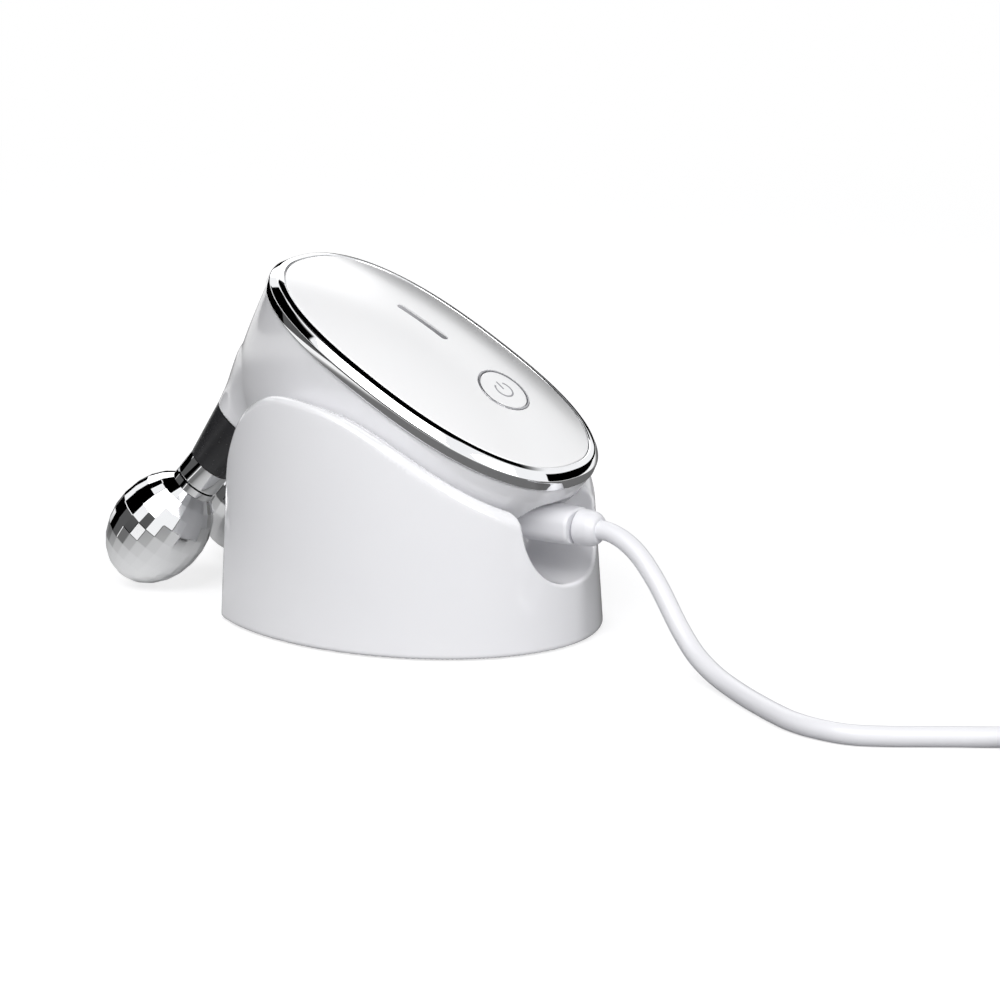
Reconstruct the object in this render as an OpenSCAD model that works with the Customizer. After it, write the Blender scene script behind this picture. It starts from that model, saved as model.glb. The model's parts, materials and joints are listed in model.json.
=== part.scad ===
// Facial toning device: a palm-sized body under a tilted oval cover, with two
// faceted roller balls on splayed arms, standing in an open-topped holder with
// its charging lead plugged in. Millimetres. +Z is up, the table is z = 0 and
// the origin is on the table under the middle of the holder. The device's tail
// and its charging lead point along +X, its rollers along -X.

/* [Cover] */
// Half the length of the oval cover
cover_half_len = 40.5; // [38:0.5:42]
// Half the width of the oval cover
cover_half_w = 23; // [21:0.5:24]
// Fullness of the oval, where 2 is an ellipse
oval_power = 2.24; // [2:0.02:2.5]
// Height of the cover's crown above its edge
cover_crown = 4.7; // [3.5:0.1:6]
// Thickness of the cover
cover_wall = 2; // [1.6:0.1:2.4]
// Depth of the skirt under the cover's edge
cover_skirt = 3.4; // [2.5:0.1:3.8]
// Lean of the cover down towards the tail, in degrees
cover_tilt = 26.7; // [25:0.1:28]
// Height of the middle of the cover's edge above the table
cover_height = 59.1; // [58.5:0.1:62]
// Distance from the holder's middle to the cover's middle
cover_ahead = 9.4; // [8.5:0.1:10.5]

/* [Trim ring] */
// Width of the ring beyond the cover
ring_w = 3.1; // [2.4:0.1:3.6]
// Depth of the ring below the cover's edge
ring_drop = 4; // [3.8:0.1:5]
// Height of the ring's crest above the cover's edge
ring_rise = 1; // [0.6:0.1:1.4]

/* [Lower shell] */
// Depth of the body below the ring
body_depth = 34.5; // [33:0.5:36]
// Wall thickness of the lower shell
shell_wall = 2; // [1.6:0.1:2.4]
// Half width of the body's flat underside
belly_half_w = 10; // [8:0.5:12]
// Reach of the flat underside towards the tail
belly_tail = 8; // [5:0.5:10]
// Reach of the flat underside towards the rollers
belly_head = 28; // [26:0.5:30]

/* [Power button] */
// Distance from the cover's middle to the button
button_along = 18.3; // [16.5:0.1:20]
// Radius of the button's face
button_r = 5.6; // [5:0.1:6.2]
// Width of the thin silver ring round the button
bezel_w = 0.45; // [0.35:0.05:0.7]
// Travel of the button
button_travel = 0.5; // [0.3:0.05:0.6]

/* [Light] */
// Distance from the cover's middle to the light's middle
light_along = -7; // [-9:0.1:-5]
// Length of the light
light_len = 14.4; // [10:0.2:17]
// Width of the light
light_w = 2; // [1.4:0.1:2.6]

/* [Arms] */
// Distance from the cover's middle back to the arm seats
arm_back = 34.6; // [34:0.1:35]
// Distance from the middle plane out to each arm seat
arm_out = 7.76; // [7.6:0.05:8.4]
// Distance of the arm seats below the cover's edge
arm_down = 38.9; // [38.6:0.1:40]
// Splay of each arm away from the middle plane, in degrees
arm_splay = 14.5; // [12:0.5:17]
// Rake of the arms towards the head, in degrees
arm_rake = 9.8; // [8:0.2:11]
// Radius of the leg and the collar where they meet
collar_top_r = 7.4; // [6.6:0.1:7.5]
// Radius of the collar at its lower end, and of the neck
neck_r = 5.15; // [4.6:0.05:5.6]
// Length of the collar
collar_len = 13; // [11:0.5:14]
// Length of neck seen between the collar and the ball
neck_len = 5.1; // [4:0.1:5.5]
// Radius of the axle
axle_r = 2; // [1.6:0.1:2.4]

/* [Roller balls] */
// Radius of the ball across its axis
ball_r = 11.2; // [9.5:0.1:11.6]
// Half the length of the ball along its axis
ball_half_len = 14.4; // [12.5:0.1:14.6]
// Number of facets round the ball
facets_round = 28; // [20:2:32]
// Number of rows of facets from pole to pole
facet_rows = 13; // [9:1:15]

/* [Holder] */
// Half the length of the holder's footprint
holder_half_len = 47.2; // [46:0.2:50]
// Half the width of the holder's footprint
holder_half_w = 36.9; // [36:0.1:40]
// Distance from the middle to the holder's flat front
holder_front = 30.9; // [30.4:0.1:32]
// Inward draft of the walls for each millimetre of height
holder_draft = 0.07; // [0.04:0.005:0.08]
// Wall thickness of the holder
holder_wall = 2.6; // [2:0.1:3]
// Height of the highest point of the rim
rim_peak = 54.3; // [50:0.1:56]
// Height that the sloping rim would have at the holder's middle
rim_mid = 56; // [54:0.1:57]
// Fall of the rim for each millimetre towards the tail
rim_fall = 0.522; // [0.48:0.002:0.55]
// Height of the rim at the flat front
rim_front = 25; // [20:0.5:28]
// Radius of the rim's outer edge
rim_round = 1.5; // [0.8:0.1:2]
// Clearance between the device and the cradle
cradle_gap = 0.8; // [0.6:0.1:1.2]
// Thickness of the cradle
cradle_wall = 2; // [1.6:0.1:2.4]
// Thickness of the foot pad
pad_t = 0.8; // [0.6:0.1:1.2]
// Thickness of the base plate
base_t = 2; // [1.6:0.1:2.6]

/* [Lead notch] */
// Half the width of the notch for the lead
notch_half_w = 13.8; // [12:0.1:14.5]
// Height of the bottom of the notch
notch_floor = 13.9; // [12.5:0.1:15]
// Height at which the sides of the notch become upright
notch_top = 31; // [28:0.5:32]

/* [Charging lead] */
// Height of the plug's axis
plug_z = 26.3; // [26:0.1:26.8]
// Place of the plug's face against the device
plug_x = 27.8; // [27.6:0.1:28.4]
// Length of the plug's grip
grip_len = 18.6; // [16:0.2:19]
// Width of the plug's grip
grip_w = 11.4; // [10:0.1:12]
// Height of the plug's grip
grip_h = 8.2; // [7.4:0.1:8.4]
// Length of the tapered collar behind the grip
relief_len = 5; // [4:0.1:5.2]
// Diameter of the cable
cable_d = 4.2; // [3.6:0.1:4.4]

/* [Hidden] */
$fn = 48;

near = -1;
far = 1;
oval_steps = 56;
ring_gap = 0.12;
fit_gap = 0.05;
run_gap = 0.04;
// The top of the lower shell's wall lies under the ring
body_half_len = cover_half_len + ring_gap + ring_w - 0.3;
body_half_w = cover_half_w + ring_gap + ring_w - 0.6;
belly_floor = -ring_drop - body_depth;

// ---- outlines and lofts ----

function signed_pow(v, p) = sign(v) * pow(abs(v), p);
// An oval of half axes a and b about [mid, 0] at height n
function oval(a, b, n, mid = 0, steps = oval_steps) =
    [for (i = [0 : steps - 1]) let (t = 360 * i / steps)
        [mid + a * signed_pow(cos(t), 2 / oval_power), b * signed_pow(sin(t), 2 / oval_power), n]];

// Skin over rings of equal length that follow each other upwards on the outside.
// Each end is a flat face, or closes to a point where one is given; a loop joins its ends.
module skin(rings, loop = false, low_tip = undef, high_tip = undef) {
    m = len(rings[0]);
    k = len(rings);
    points = [for (r = rings) each r];
    sides = [for (j = [0 : k - (loop ? 1 : 2)], i = [0 : m - 1])
        let (j2 = (j + 1) % k, i2 = (i + 1) % m, a = j * m + i, b = j * m + i2, c = j2 * m + i2, d = j2 * m + i)
        each [[a, c, b], [a, d, c]]];
    tips = concat(low_tip == undef ? [] : [low_tip], high_tip == undef ? [] : [high_tip]);
    top = (k - 1) * m;
    low = loop ? [] : low_tip == undef ? [[for (i = [0 : m - 1]) i]]
        : [for (i = [0 : m - 1]) [k * m, i, (i + 1) % m]];
    high = loop ? [] : high_tip == undef ? [[for (i = [m - 1 : -1 : 0]) top + i]]
        : [for (i = [0 : m - 1]) [k * m + len(tips) - 1, top + (i + 1) % m, top + i]];
    polyhedron(points = concat(points, tips), faces = concat(sides, low, high), convexity = 6);
}

// ---- frames ----

// The device's own frame: the middle of the cover's edge, with +Z out of the cover
module on_cover() translate([cover_ahead, 0, cover_height]) rotate([0, cover_tilt, 0]) children();
function from_cover(p) = [cover_ahead + p.x * cos(cover_tilt) + p.z * sin(cover_tilt), p.y,
    cover_height - p.x * sin(cover_tilt) + p.z * cos(cover_tilt)];
// An arm's frame: the seat of its collar, with +Z up the arm into the body
module on_arm(side) on_cover() translate([-arm_back, side * arm_out, -arm_down])
    rotate([side * arm_splay, arm_rake, 0]) children();

// ---- cover ----

function crown_at(share) = cover_crown * (1 - share * share);
function crown_rings(shares, lift) = [for (s = shares)
    oval(s * cover_half_len, s * cover_half_w, crown_at(s) + lift)];
// Height of the crown over a point of the cover
function crown_over(x, y) = crown_at(pow(pow(abs(x) / cover_half_len, oval_power)
    + pow(abs(y) / cover_half_w, oval_power), 1 / oval_power));
// A patch of everything below the crown over an ellipse, raised by lift
module under_crown(along, rx, ry, lift) {
    sides = 24;
    skin([for (q = [[1, -12], [1, 0], [0.67, 0], [0.33, 0]]) [for (i = [0 : sides - 1])
        let (a = 360 * i / sides, x = along + q[0] * rx * cos(a), y = q[0] * ry * sin(a))
        [x, y, q[1] < 0 ? q[1] : crown_over(x, y) + lift]]],
        high_tip = [along, 0, crown_over(along, 0) + lift]);
}
post_x = 27;
post_y = 9;
board_top = -3;
board_t = 1.6;
board_screw_r = 0.85;
bezel_r = button_r + 0.15 + bezel_w;
module at_posts() for (sx = [-1, 1], sy = [-1, 1]) translate([sx * post_x, sy * post_y, 0]) children();
module light_slot(grow, low, high) {
    r = light_w / 2 + grow;
    half = light_len / 2 - light_w / 2;
    translate([light_along, 0, low]) {
        for (s = [-1, 1]) translate([s * half, 0, 0]) cylinder(r = r, h = high - low);
        translate([-half, -r, 0]) cube([2 * half, 2 * r, high - low]);
    }
}
module top_cover() color("white") on_cover() difference() {
    skin(concat([oval(cover_half_len, cover_half_w, -cover_skirt)],
        crown_rings([1, 0.97, 0.88, 0.74, 0.58, 0.4, 0.2], 0)), high_tip = [0, 0, cover_crown]);
    difference() {
        skin(concat([for (n = [-cover_skirt - 1, -cover_wall + 0.4])
            oval(cover_half_len - 1.6, cover_half_w - 1.6, n)],
            crown_rings([0.75, 0.5, 0.25], -cover_wall)), high_tip = [0, 0, cover_crown - cover_wall]);
        at_posts() translate([0, 0, board_top]) cylinder(r = 2.4, h = cover_crown - board_top);
    }
    at_posts() translate([0, 0, board_top - 1]) cylinder(r = board_screw_r + fit_gap, h = 3.2);
    translate([button_along, 0, -5]) cylinder(r = bezel_r + fit_gap, h = 5 + cover_crown + 1);
    light_slot(fit_gap, -5, cover_crown + 1);
}
module trim_ring() color("silver") on_cover() {
    crest = 0.9;
    sweep = [for (t = [0 : 18 : 90])
        [ring_gap + crest + (ring_w - crest) * cos(t), -ring_drop / 2 + (ring_rise + ring_drop / 2) * sin(t)]];
    profile = concat([[ring_gap, -ring_drop], [ring_gap + ring_w - 0.15, -ring_drop]], sweep,
        [[ring_gap, ring_rise - 0.65]]);
    skin([for (q = profile) oval(cover_half_len + q.x, cover_half_w + q.x, q.y)], loop = true);
}
module button_bezel() color("silver") on_cover() intersection() {
    difference() {
        translate([button_along, 0, 1]) cylinder(r = bezel_r, h = cover_crown);
        translate([button_along, 0, 0]) cylinder(r = button_r + 0.15, h = cover_crown + 2);
    }
    under_crown(button_along, bezel_r + 1, bezel_r + 1, 0.15);
}
switch_top = board_top + 1.6;
plunger_top = switch_top + button_travel + 0.1;
stem_r = 1.5;
plunger_r = 1.1;
flange_top = crown_at(button_along / cover_half_len) - cover_wall - 1.1;
flange_low = flange_top - 0.8;
module power_button() color("white") on_cover() intersection() {
    translate([button_along, 0, 0]) {
        translate([0, 0, flange_low]) cylinder(r = button_r, h = cover_crown + 1 - flange_low);
        translate([0, 0, flange_low]) cylinder(r = bezel_r + 0.7, h = flange_top - flange_low);
        translate([0, 0, plunger_top]) cylinder(r = stem_r, h = flange_low + 0.1 - plunger_top);
    }
    under_crown(button_along, bezel_r + 1, bezel_r + 1, 0.1);
}
module switch_plunger() color("dimgray") on_cover() translate([button_along, 0, board_top + 1])
    cylinder(r = plunger_r, h = plunger_top - board_top - 1);
module switch_body() color("gray") on_cover() translate([button_along, 0, board_top]) difference() {
    translate([-3, -3, 0]) cube([6, 6, switch_top - board_top]);
    translate([0, 0, 1 - button_travel - 0.1])
        cylinder(r = plunger_r + run_gap, h = switch_top - board_top);
}
lens_t = 1.2;
guide_low = board_top + 1;
lens_low = crown_at((light_along - light_len / 2) / cover_half_len) - lens_t;
module light_lens() color("lightgray") on_cover() intersection() {
    light_slot(0, lens_low, cover_crown + 1);
    under_crown(light_along, light_len / 2 + 1, light_w + 0.6, -0.15);
}
module light_guide() color("whitesmoke") on_cover()
    translate([light_along - light_len / 2 + 1, -light_w / 2 + 0.2, guide_low])
        cube([light_len - 2, light_w - 0.4, lens_low - guide_low]);
module indicator_leds() color("lightyellow") on_cover() for (s = [-1, 0, 1])
    translate([light_along + s * light_len / 3.4 - 1, -0.6, board_top]) cube([2, 1.2, guide_low - board_top]);

// ---- circuit board and battery ----

module circuit_board() color("darkgreen") on_cover() difference() {
    translate([0, 0, board_top - board_t]) linear_extrude(board_t)
        polygon([for (p = oval(cover_half_len - 3.5, cover_half_w - 3.5, 0)) [p.x, p.y]]);
    at_posts() translate([0, 0, board_top - board_t - 1]) cylinder(r = board_screw_r + 0.25, h = board_t + 2);
}
module board_screws() color("silver") on_cover() at_posts() {
    translate([0, 0, board_top - board_t - 0.9]) cylinder(r = 1.7, h = 0.9);
    translate([0, 0, board_top - board_t]) cylinder(r = board_screw_r, h = board_t + 2);
}
inner_floor = belly_floor + shell_wall;
foam_t = 1.8;
cell = [20, 17, 6.5];
cell_at = [-12.5, -cell.y / 2, inner_floor + fit_gap + foam_t];
board_under = board_top - board_t;
module battery() color("lightsteelblue") on_cover() translate(cell_at) cube(cell);
module battery_foam() color("dimgray") on_cover()
    translate([cell_at.x + 1.5, -6, inner_floor + fit_gap]) cube([11.5, 12, foam_t]);
module battery_leads() color("firebrick") on_cover() for (s = [-1, 1])
    translate([cell_at.x + 3, s * 5, cell_at.z + cell.z])
        cylinder(r = 0.6, h = board_under - cell_at.z - cell.z, $fn = 16);

// ---- lower shell ----

body_levels = 9;
function body_ring(v, grow, steps) =
    let (tail = belly_tail + (body_half_len - belly_tail) * pow(1 - pow(v, 1.6), 0.55),
         head = -belly_head - (body_half_len - belly_head) * pow(1 - pow(v, 8), 0.5),
         half = belly_half_w + (body_half_w - belly_half_w) * pow(1 - pow(v, 2.2), 0.6))
    oval((tail - head) / 2 + grow, half + grow, -ring_drop - (body_depth + grow) * v, (tail + head) / 2, steps);
module body_form(grow, levels = body_levels, steps = oval_steps)
    skin([for (j = [levels : -1 : 0]) body_ring(sin(90 * j / levels), grow, steps)]);
// The body and the room that it passes through when it is lifted straight up
module lifted_form(grow) hull() {
    on_cover() body_form(grow, 7, 36);
    translate([0, 0, 60]) on_cover() body_form(grow, 1, 36);
}
leg_root = 13;
leg_root_r = 10.4;
leg_end_wall = 1.8;
module leg_form(r_seat, r_root, low) hull() {
    translate([0, 0, low]) cylinder(r = r_seat, h = 0.4, $fn = 32);
    translate([0, 0, leg_root]) cylinder(r = r_root, h = 1, $fn = 32);
}
// The recess in the tail that takes the plug, in the holder's frame
pocket_half_w = grip_w / 2 + 1.7;
pocket_roof = plug_z + grip_h / 2 + 0.5;
socket_face = plug_x - 0.3;
module plug_pocket(grow) translate([socket_face - grow, -pocket_half_w - grow, 0])
    cube([60, 2 * (pocket_half_w + grow), pocket_roof + grow]);
socket_w = 7.6;
socket_h = 2.9;
socket_len = 5.6;
socket_board_t = 1;
yoke_screw_x = -17.5;
yoke_screw_y = 8;
yoke_screw_r = 1.1;
yoke_plate_low = -arm_down + 8;
yoke_plate_t = 2.4;
bay_x = socket_face - shell_wall;
module lower_shell() color("white") difference() {
    union() {
        on_cover() body_form(0);
        for (side = [near, far]) on_arm(side) leg_form(collar_top_r, leg_root_r, 0);
    }
    difference() {
        union() {
            on_cover() {
                body_form(-shell_wall);
                translate([0, 0, -ring_drop - 0.5]) linear_extrude(2) polygon([for (p =
                    oval(body_half_len - shell_wall, body_half_w - shell_wall, 0)) [p.x, p.y]]);
            }
            for (side = [near, far]) on_arm(side)
                leg_form(collar_top_r - shell_wall, leg_root_r - shell_wall, leg_end_wall);
        }
        plug_pocket(shell_wall);
        socket_rest();
        on_cover() for (s = [-1, 1]) translate([yoke_screw_x, s * yoke_screw_y, belly_floor])
            cylinder(r = 2.6, h = yoke_plate_low - fit_gap - belly_floor);
    }
    plug_pocket(0);
    translate([bay_x - 1, -socket_w / 2 - fit_gap, plug_z - socket_h / 2 - fit_gap])
        cube([shell_wall + 2, socket_w + 2 * fit_gap, socket_h + 2 * fit_gap]);
    for (side = [near, far]) on_arm(side) translate([0, 0, -1]) cylinder(r = axle_r + fit_gap, h = 4);
    on_cover() for (s = [-1, 1]) translate([yoke_screw_x, s * yoke_screw_y, yoke_plate_low - 4])
        cylinder(r = yoke_screw_r + fit_gap, h = 5);
}
// A solid rest under the socket's board
rest_len = 8;
module socket_rest() translate([bay_x - rest_len, -5, 0])
    cube([rest_len + 1, 10, plug_z - socket_h / 2 - socket_board_t - fit_gap]);
module charge_socket() color("silver") translate([socket_face - socket_len - 0.2, -socket_w / 2, plug_z - socket_h / 2])
    difference() {
        cube([socket_len, socket_w, socket_h]);
        translate([0.4, 0.35, 0.35]) cube([socket_len, socket_w - 0.7, socket_h - 0.7]);
    }
module socket_board() color("darkgreen")
    translate([bay_x - rest_len, -5.2, plug_z - socket_h / 2 - socket_board_t])
        cube([rest_len - fit_gap, 10.4, socket_board_t]);
module rod_between(p, q, r) {
    d = q - p;
    translate(p) rotate([0, acos(d.z / norm(d)), atan2(d.y, d.x)]) cylinder(r = r, h = norm(d), $fn = 16);
}
module charge_leads() color("black") for (s = [-1, 1])
    rod_between([bay_x - 7.5, s * 4.5, plug_z - socket_h / 2 + 0.2],
        from_cover([20, s * 4.5, board_under - 0.2]), 0.5);

// ---- arms ----

axle_top = 11.5;
ball_drop = collar_len + neck_len + ball_half_len + 0.3;
hub_r = neck_r;
hub_top = ball_half_len;
bush_r = 4.2;
bush_top = ball_half_len - 2.4;
bush_low = -4;
clip_r = 3.3;
clip_t = 0.8;
spigot_r = 3.2;
module arm_yoke() color("gainsboro") difference() {
    union() {
        for (side = [near, far]) on_arm(side) translate([0, 0, 3]) cylinder(r = 4, h = axle_top - 3.5);
        on_cover() translate([-arm_back - 1, -11, yoke_plate_low])
            cube([arm_back + 1 + yoke_screw_x + 3, 22, yoke_plate_t]);
    }
    for (side = [near, far]) on_arm(side) cylinder(r = axle_r + fit_gap, h = axle_top + 2);
    on_cover() for (s = [-1, 1]) translate([yoke_screw_x, s * yoke_screw_y, yoke_plate_low - 1])
        cylinder(r = yoke_screw_r + 0.2, h = yoke_plate_t + 2);
}
module yoke_screws() color("silver") on_cover() for (s = [-1, 1])
    translate([yoke_screw_x, s * yoke_screw_y, yoke_plate_low]) {
        translate([0, 0, yoke_plate_t]) cylinder(r = 2.1, h = 1.3);
        translate([0, 0, -3.6]) cylinder(r = yoke_screw_r, h = yoke_plate_t + 3.6);
    }
module electrode_leads() color("goldenrod") for (side = [near, far]) {
    top = from_cover([-arm_back + 5, side * 5, board_under - 0.3]);
    foot = from_cover([-arm_back + (axle_top + 0.3) * sin(arm_rake) * cos(arm_splay),
        side * (arm_out - (axle_top + 0.3) * sin(arm_splay)),
        -arm_down + (axle_top + 0.3) * cos(arm_rake) * cos(arm_splay)]);
    rod_between(foot, top, 0.6);
}
module collar(side) color([0.13, 0.13, 0.14]) on_arm(side) rotate_extrude() polygon([
    [axle_r + fit_gap, 0], [axle_r + fit_gap, -4], [spigot_r + fit_gap, -4],
    [spigot_r + fit_gap, -collar_len], [neck_r - 0.3, -collar_len], [neck_r, -collar_len + 0.3],
    [collar_top_r, -0.3], [collar_top_r - 0.3, 0]]);
module neck(side) color("silver") on_arm(side) rotate_extrude() polygon([
    [axle_r + fit_gap, -collar_len - neck_len], [neck_r - 0.3, -collar_len - neck_len],
    [neck_r, -collar_len - neck_len + 0.3], [neck_r, -collar_len], [spigot_r, -collar_len],
    [spigot_r, -4.1], [axle_r + fit_gap, -4.1]]);
module axle(side) color("lightslategray") on_arm(side)
    translate([0, 0, -ball_drop + bush_low - 1.6]) cylinder(r = axle_r, h = axle_top + ball_drop - bush_low + 1.6);
module axle_clip(side) color("dimgray") on_arm(side)
    translate([0, 0, -ball_drop + bush_low - clip_t - 0.1]) difference() {
        cylinder(r = clip_r, h = clip_t);
        translate([0, 0, -1]) cylinder(r = axle_r, h = clip_t + 2);
    }
function ball_ring(j) = let (t = 180 * j / facet_rows)
    [for (i = [0 : facets_round - 1]) let (a = 360 * i / facets_round)
        [ball_r * sin(t) * cos(a), ball_r * sin(t) * sin(a), -ball_half_len * cos(t)]];
module ball(side) color("silver") on_arm(side) translate([0, 0, -ball_drop]) difference() {
    union() {
        skin([for (j = [1 : facet_rows - 1]) ball_ring(j)],
            low_tip = [0, 0, -ball_half_len], high_tip = [0, 0, ball_half_len]);
        translate([0, 0, ball_half_len - 3.4]) cylinder(r = hub_r, h = hub_top - ball_half_len + 3.4);
    }
    translate([0, 0, bush_low - clip_t - 1.8]) cylinder(r = bush_r + 0.02, h = bush_top - bush_low + clip_t + 1.8);
    cylinder(r = axle_r + 0.4, h = ball_half_len + 2);
}
module ball_bush(side) color("tan") on_arm(side) translate([0, 0, -ball_drop + bush_low]) difference() {
    cylinder(r = bush_r, h = bush_top - bush_low);
    translate([0, 0, -1]) cylinder(r = axle_r + run_gap, h = bush_top - bush_low + 2);
}
module collar_near() collar(near);
module collar_far() collar(far);
module neck_near() neck(near);
module neck_far() neck(far);
module axle_near() axle(near);
module axle_far() axle(far);
module axle_clip_near() axle_clip(near);
module axle_clip_far() axle_clip(far);
module ball_near() ball(near);
module ball_far() ball(far);
module ball_bush_near() ball_bush(near);
module ball_bush_far() ball_bush(far);

// ---- holder ----

wall_steps = 72;
// Length of a run past the flat front, eased so that the corner is round
corner_ease = 1.4;
function past_front(x) = let (d = x + holder_front)
    (d + sqrt(d * d + 4 * corner_ease * corner_ease)) / 2 - holder_front;
function footprint(t, z, inset = 0) = [
    past_front((holder_half_len - holder_draft * z) * cos(t)) * (1 - inset / holder_half_len),
    (holder_half_w - holder_draft * z) * sin(t) * (1 - inset / holder_half_w)];
function outline(z, inset) = [for (i = [0 : wall_steps - 1]) footprint(360 * i / wall_steps, z, inset)];
// Height of the rim over a point of the footprint: a straight fall to the tail,
// a level crest, and a rounded shoulder down to the front
shoulder_x = -8;
rim_blend = 2.2;
function rim_at(x) =
    let (run = max(-1, min(0, (x - shoulder_x) / (holder_front + shoulder_x))),
         crest = rim_front + (rim_peak - rim_front) * sqrt(max(0, 1 - run * run)),
         slope = rim_mid - rim_fall * x)
    -rim_blend * ln(exp(-(crest - 40) / rim_blend) + exp(-(slope - 40) / rim_blend)) + 40;
// A ring of the holder's form, with the share of its height and the inset and rise at its rim
function form_ring(share, inset, rise, low, drop, steps) = [for (i = [0 : steps - 1])
    let (t = 360 * i / steps, guess = footprint(t, 40),
         top = rim_at(guess.x) - drop, z = low + (top - rim_round - low) * share + rise,
         p = footprint(t, z, inset)) [p.x, p.y, z]];
module holder_form(inset, low, drop, steps = wall_steps, turns = [0, 30, 60, 90]) {
    arcs = [for (a = turns) [1, inset + rim_round * (1 - cos(a)), rim_round * sin(a)]];
    rings = concat([[0, inset, 0], [0.5, inset, 0]], arcs);
    top = [for (share = [0.8, 0.45]) [for (i = [0 : steps - 1])
        let (p = share * footprint(360 * i / steps, 40, inset)) [p.x, p.y, rim_at(p.x) - drop]]];
    skin(concat([for (q = rings) form_ring(q[0], q[1], q[2], low, drop, steps)], top),
        high_tip = [0, 0, rim_at(0) - drop]);
}
// The notch for the lead, as an outline across it
notch_depth = notch_top - notch_floor;
function notch_side(grow) = [for (i = [0 : 8])
    let (t = 90 * i / 8) [(notch_half_w + grow) * pow(sin(t), 0.77),
        notch_top - (notch_depth + grow) * pow(cos(t), 0.77)]];
module notch(grow, from, to) translate([from, 0, 0]) rotate([90, 0, 90]) linear_extrude(to - from)
    polygon(concat(notch_side(grow), [[notch_half_w + grow, 80], [-notch_half_w - grow, 80]],
        [for (i = [8 : -1 : 1]) let (p = notch_side(grow)[i]) [-p.x, p.y]]));
notch_end = socket_face - 1.5;
boss_at = [[-23.5, 25.4], [30, 22]];
boss_r = 3.4;
boss_top = 16;
base_screw_r = 1.25;
module at_bosses() for (p = boss_at, s = [-1, 1]) translate([p.x, s * p.y, 0]) children();
module holder_shell() color("white") difference() {
    union() {
        difference() {
            holder_form(0, pad_t, 0);
            difference() {
                holder_form(holder_wall, pad_t - 1, holder_wall - 0.2, 48, [0, 90]);
                notch(cradle_wall, notch_end - cradle_wall, 60);
                at_bosses() translate([0, 0, pad_t + base_t]) cylinder(r = boss_r, h = boss_top);
            }
        }
    }
    lifted_form(cradle_gap + cradle_wall + fit_gap);
    notch(0, notch_end, 60);
    at_bosses() translate([0, 0, pad_t + base_t - 1]) cylinder(r = base_screw_r + fit_gap, h = 10);
}
module cradle_tray() color("white") difference() {
    intersection() {
        lifted_form(cradle_gap + cradle_wall);
        holder_form(0, pad_t, 0);
    }
    lifted_form(cradle_gap);
    notch(0, notch_end, 60);
    at_pads() translate([0, 0, belly_floor - 20]) cylinder(r = pad_r + fit_gap, h = 30);
}
// Four soft pads through the tray, under the flat of the belly
pad_gap = 0.3;
pad_r = 2.5;
module at_pads() on_cover() for (x = [-14.5, -3], s = [-1, 1]) translate([x, s * 6, 0]) children();
module cradle_pads() color("lightgray") at_pads() {
    translate([0, 0, belly_floor - cradle_gap - cradle_wall - 1.2]) cylinder(r = pad_r + 1, h = 1.1);
    translate([0, 0, belly_floor - cradle_gap - cradle_wall - 1.2])
        cylinder(r = pad_r, h = 1.2 + cradle_wall + cradle_gap - pad_gap);
}
base_clear = 0.4;
module base_plate() color("whitesmoke") difference() {
    translate([0, 0, pad_t]) linear_extrude(base_t) polygon(outline(pad_t + base_t, holder_wall + base_clear));
    at_bosses() translate([0, 0, pad_t - 1]) cylinder(r = base_screw_r + 0.2, h = base_t + 2);
    at_bosses() translate([0, 0, pad_t - 1]) cylinder(r = 2.5, h = 1 + base_t - 0.8);
}
module base_screws() color("silver") at_bosses() {
    translate([0, 0, pad_t + 0.1]) cylinder(r = 2.3, h = base_t - 0.9);
    translate([0, 0, pad_t + base_t - 0.8]) cylinder(r = base_screw_r, h = 8);
}
module foot_pad() color("gray") linear_extrude(pad_t) polygon(outline(0, holder_wall + 1.2));

// ---- charging lead ----

module plug_section(w, h, r) {
    square([h - 2 * r, w], center = true);
    square([h, w - 2 * r], center = true);
    for (sx = [-1, 1], sy = [-1, 1]) translate([sx * (h / 2 - r), sy * (w / 2 - r)]) circle(r = r);
}
relief_x = plug_x + grip_len + 0.6;
module along_plug(x) translate([x, 0, plug_z]) rotate([0, 90, 0]) children();
module plug_grip() color("white") difference() {
    union() {
        along_plug(plug_x) linear_extrude(grip_len) plug_section(grip_w, grip_h, 3.6);
        along_plug(plug_x + grip_len) cylinder(r = 3, h = 0.6);
    }
    along_plug(plug_x - 1) linear_extrude(2.5) square([1.9, 7], center = true);
}
module plug_relief() color("white") along_plug(relief_x) difference() {
    cylinder(r1 = grip_h / 2, r2 = cable_d / 2 + 0.7, h = relief_len);
    translate([0, 0, relief_len - 3]) cylinder(r = cable_d / 2, h = 4);
}
module plug_tip() color("silver") along_plug(plug_x - 5.4) linear_extrude(5.4 + 1.5) square([1.8, 6.6], center = true);
cable_start = relief_x + relief_len - 3;
// The cable's route from the plug to the coil, in round millimetres
route = [[53.4, 0, 26.3], [56.5, -0.3, 25.7], [59.8, -0.8, 24.4], [63, -1.5, 22.5], [66, -2.4, 20.1],
    [69, -3.4, 17.3], [71.7, -4.4, 14.4], [74.6, -5.6, 11.3], [77.8, -7, 8.4], [81.3, -8.6, 5.9],
    [85.2, -10.4, 4.1], [89.6, -12.6, 2.9], [94.5, -15.4, 2.3], [99.6, -18.6, 2.1], [104.8, -21.8, 2.1],
    [110.4, -25, 2.1], [116.4, -27.8, 2.1], [122.8, -29, 2.1], [129.2, -28.6, 2.1], [135.2, -25.8, 2.1],
    [141, -22, 2.1], [146.8, -18.1, 2.1], [152.6, -14.4, 2.1], [158.9, -10, 2.1], [164.9, -5.6, 2.1]];
cable_sides = 10;
function unit(v) = v / norm(v);
function cross_ring(p, d, r) = let (side = unit(cross([0, 0, 1], d)), up = cross(d, side))
    [for (i = [0 : cable_sides - 1]) let (a = 360 * i / cable_sides) p + r * (cos(a) * side + sin(a) * up)];
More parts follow.
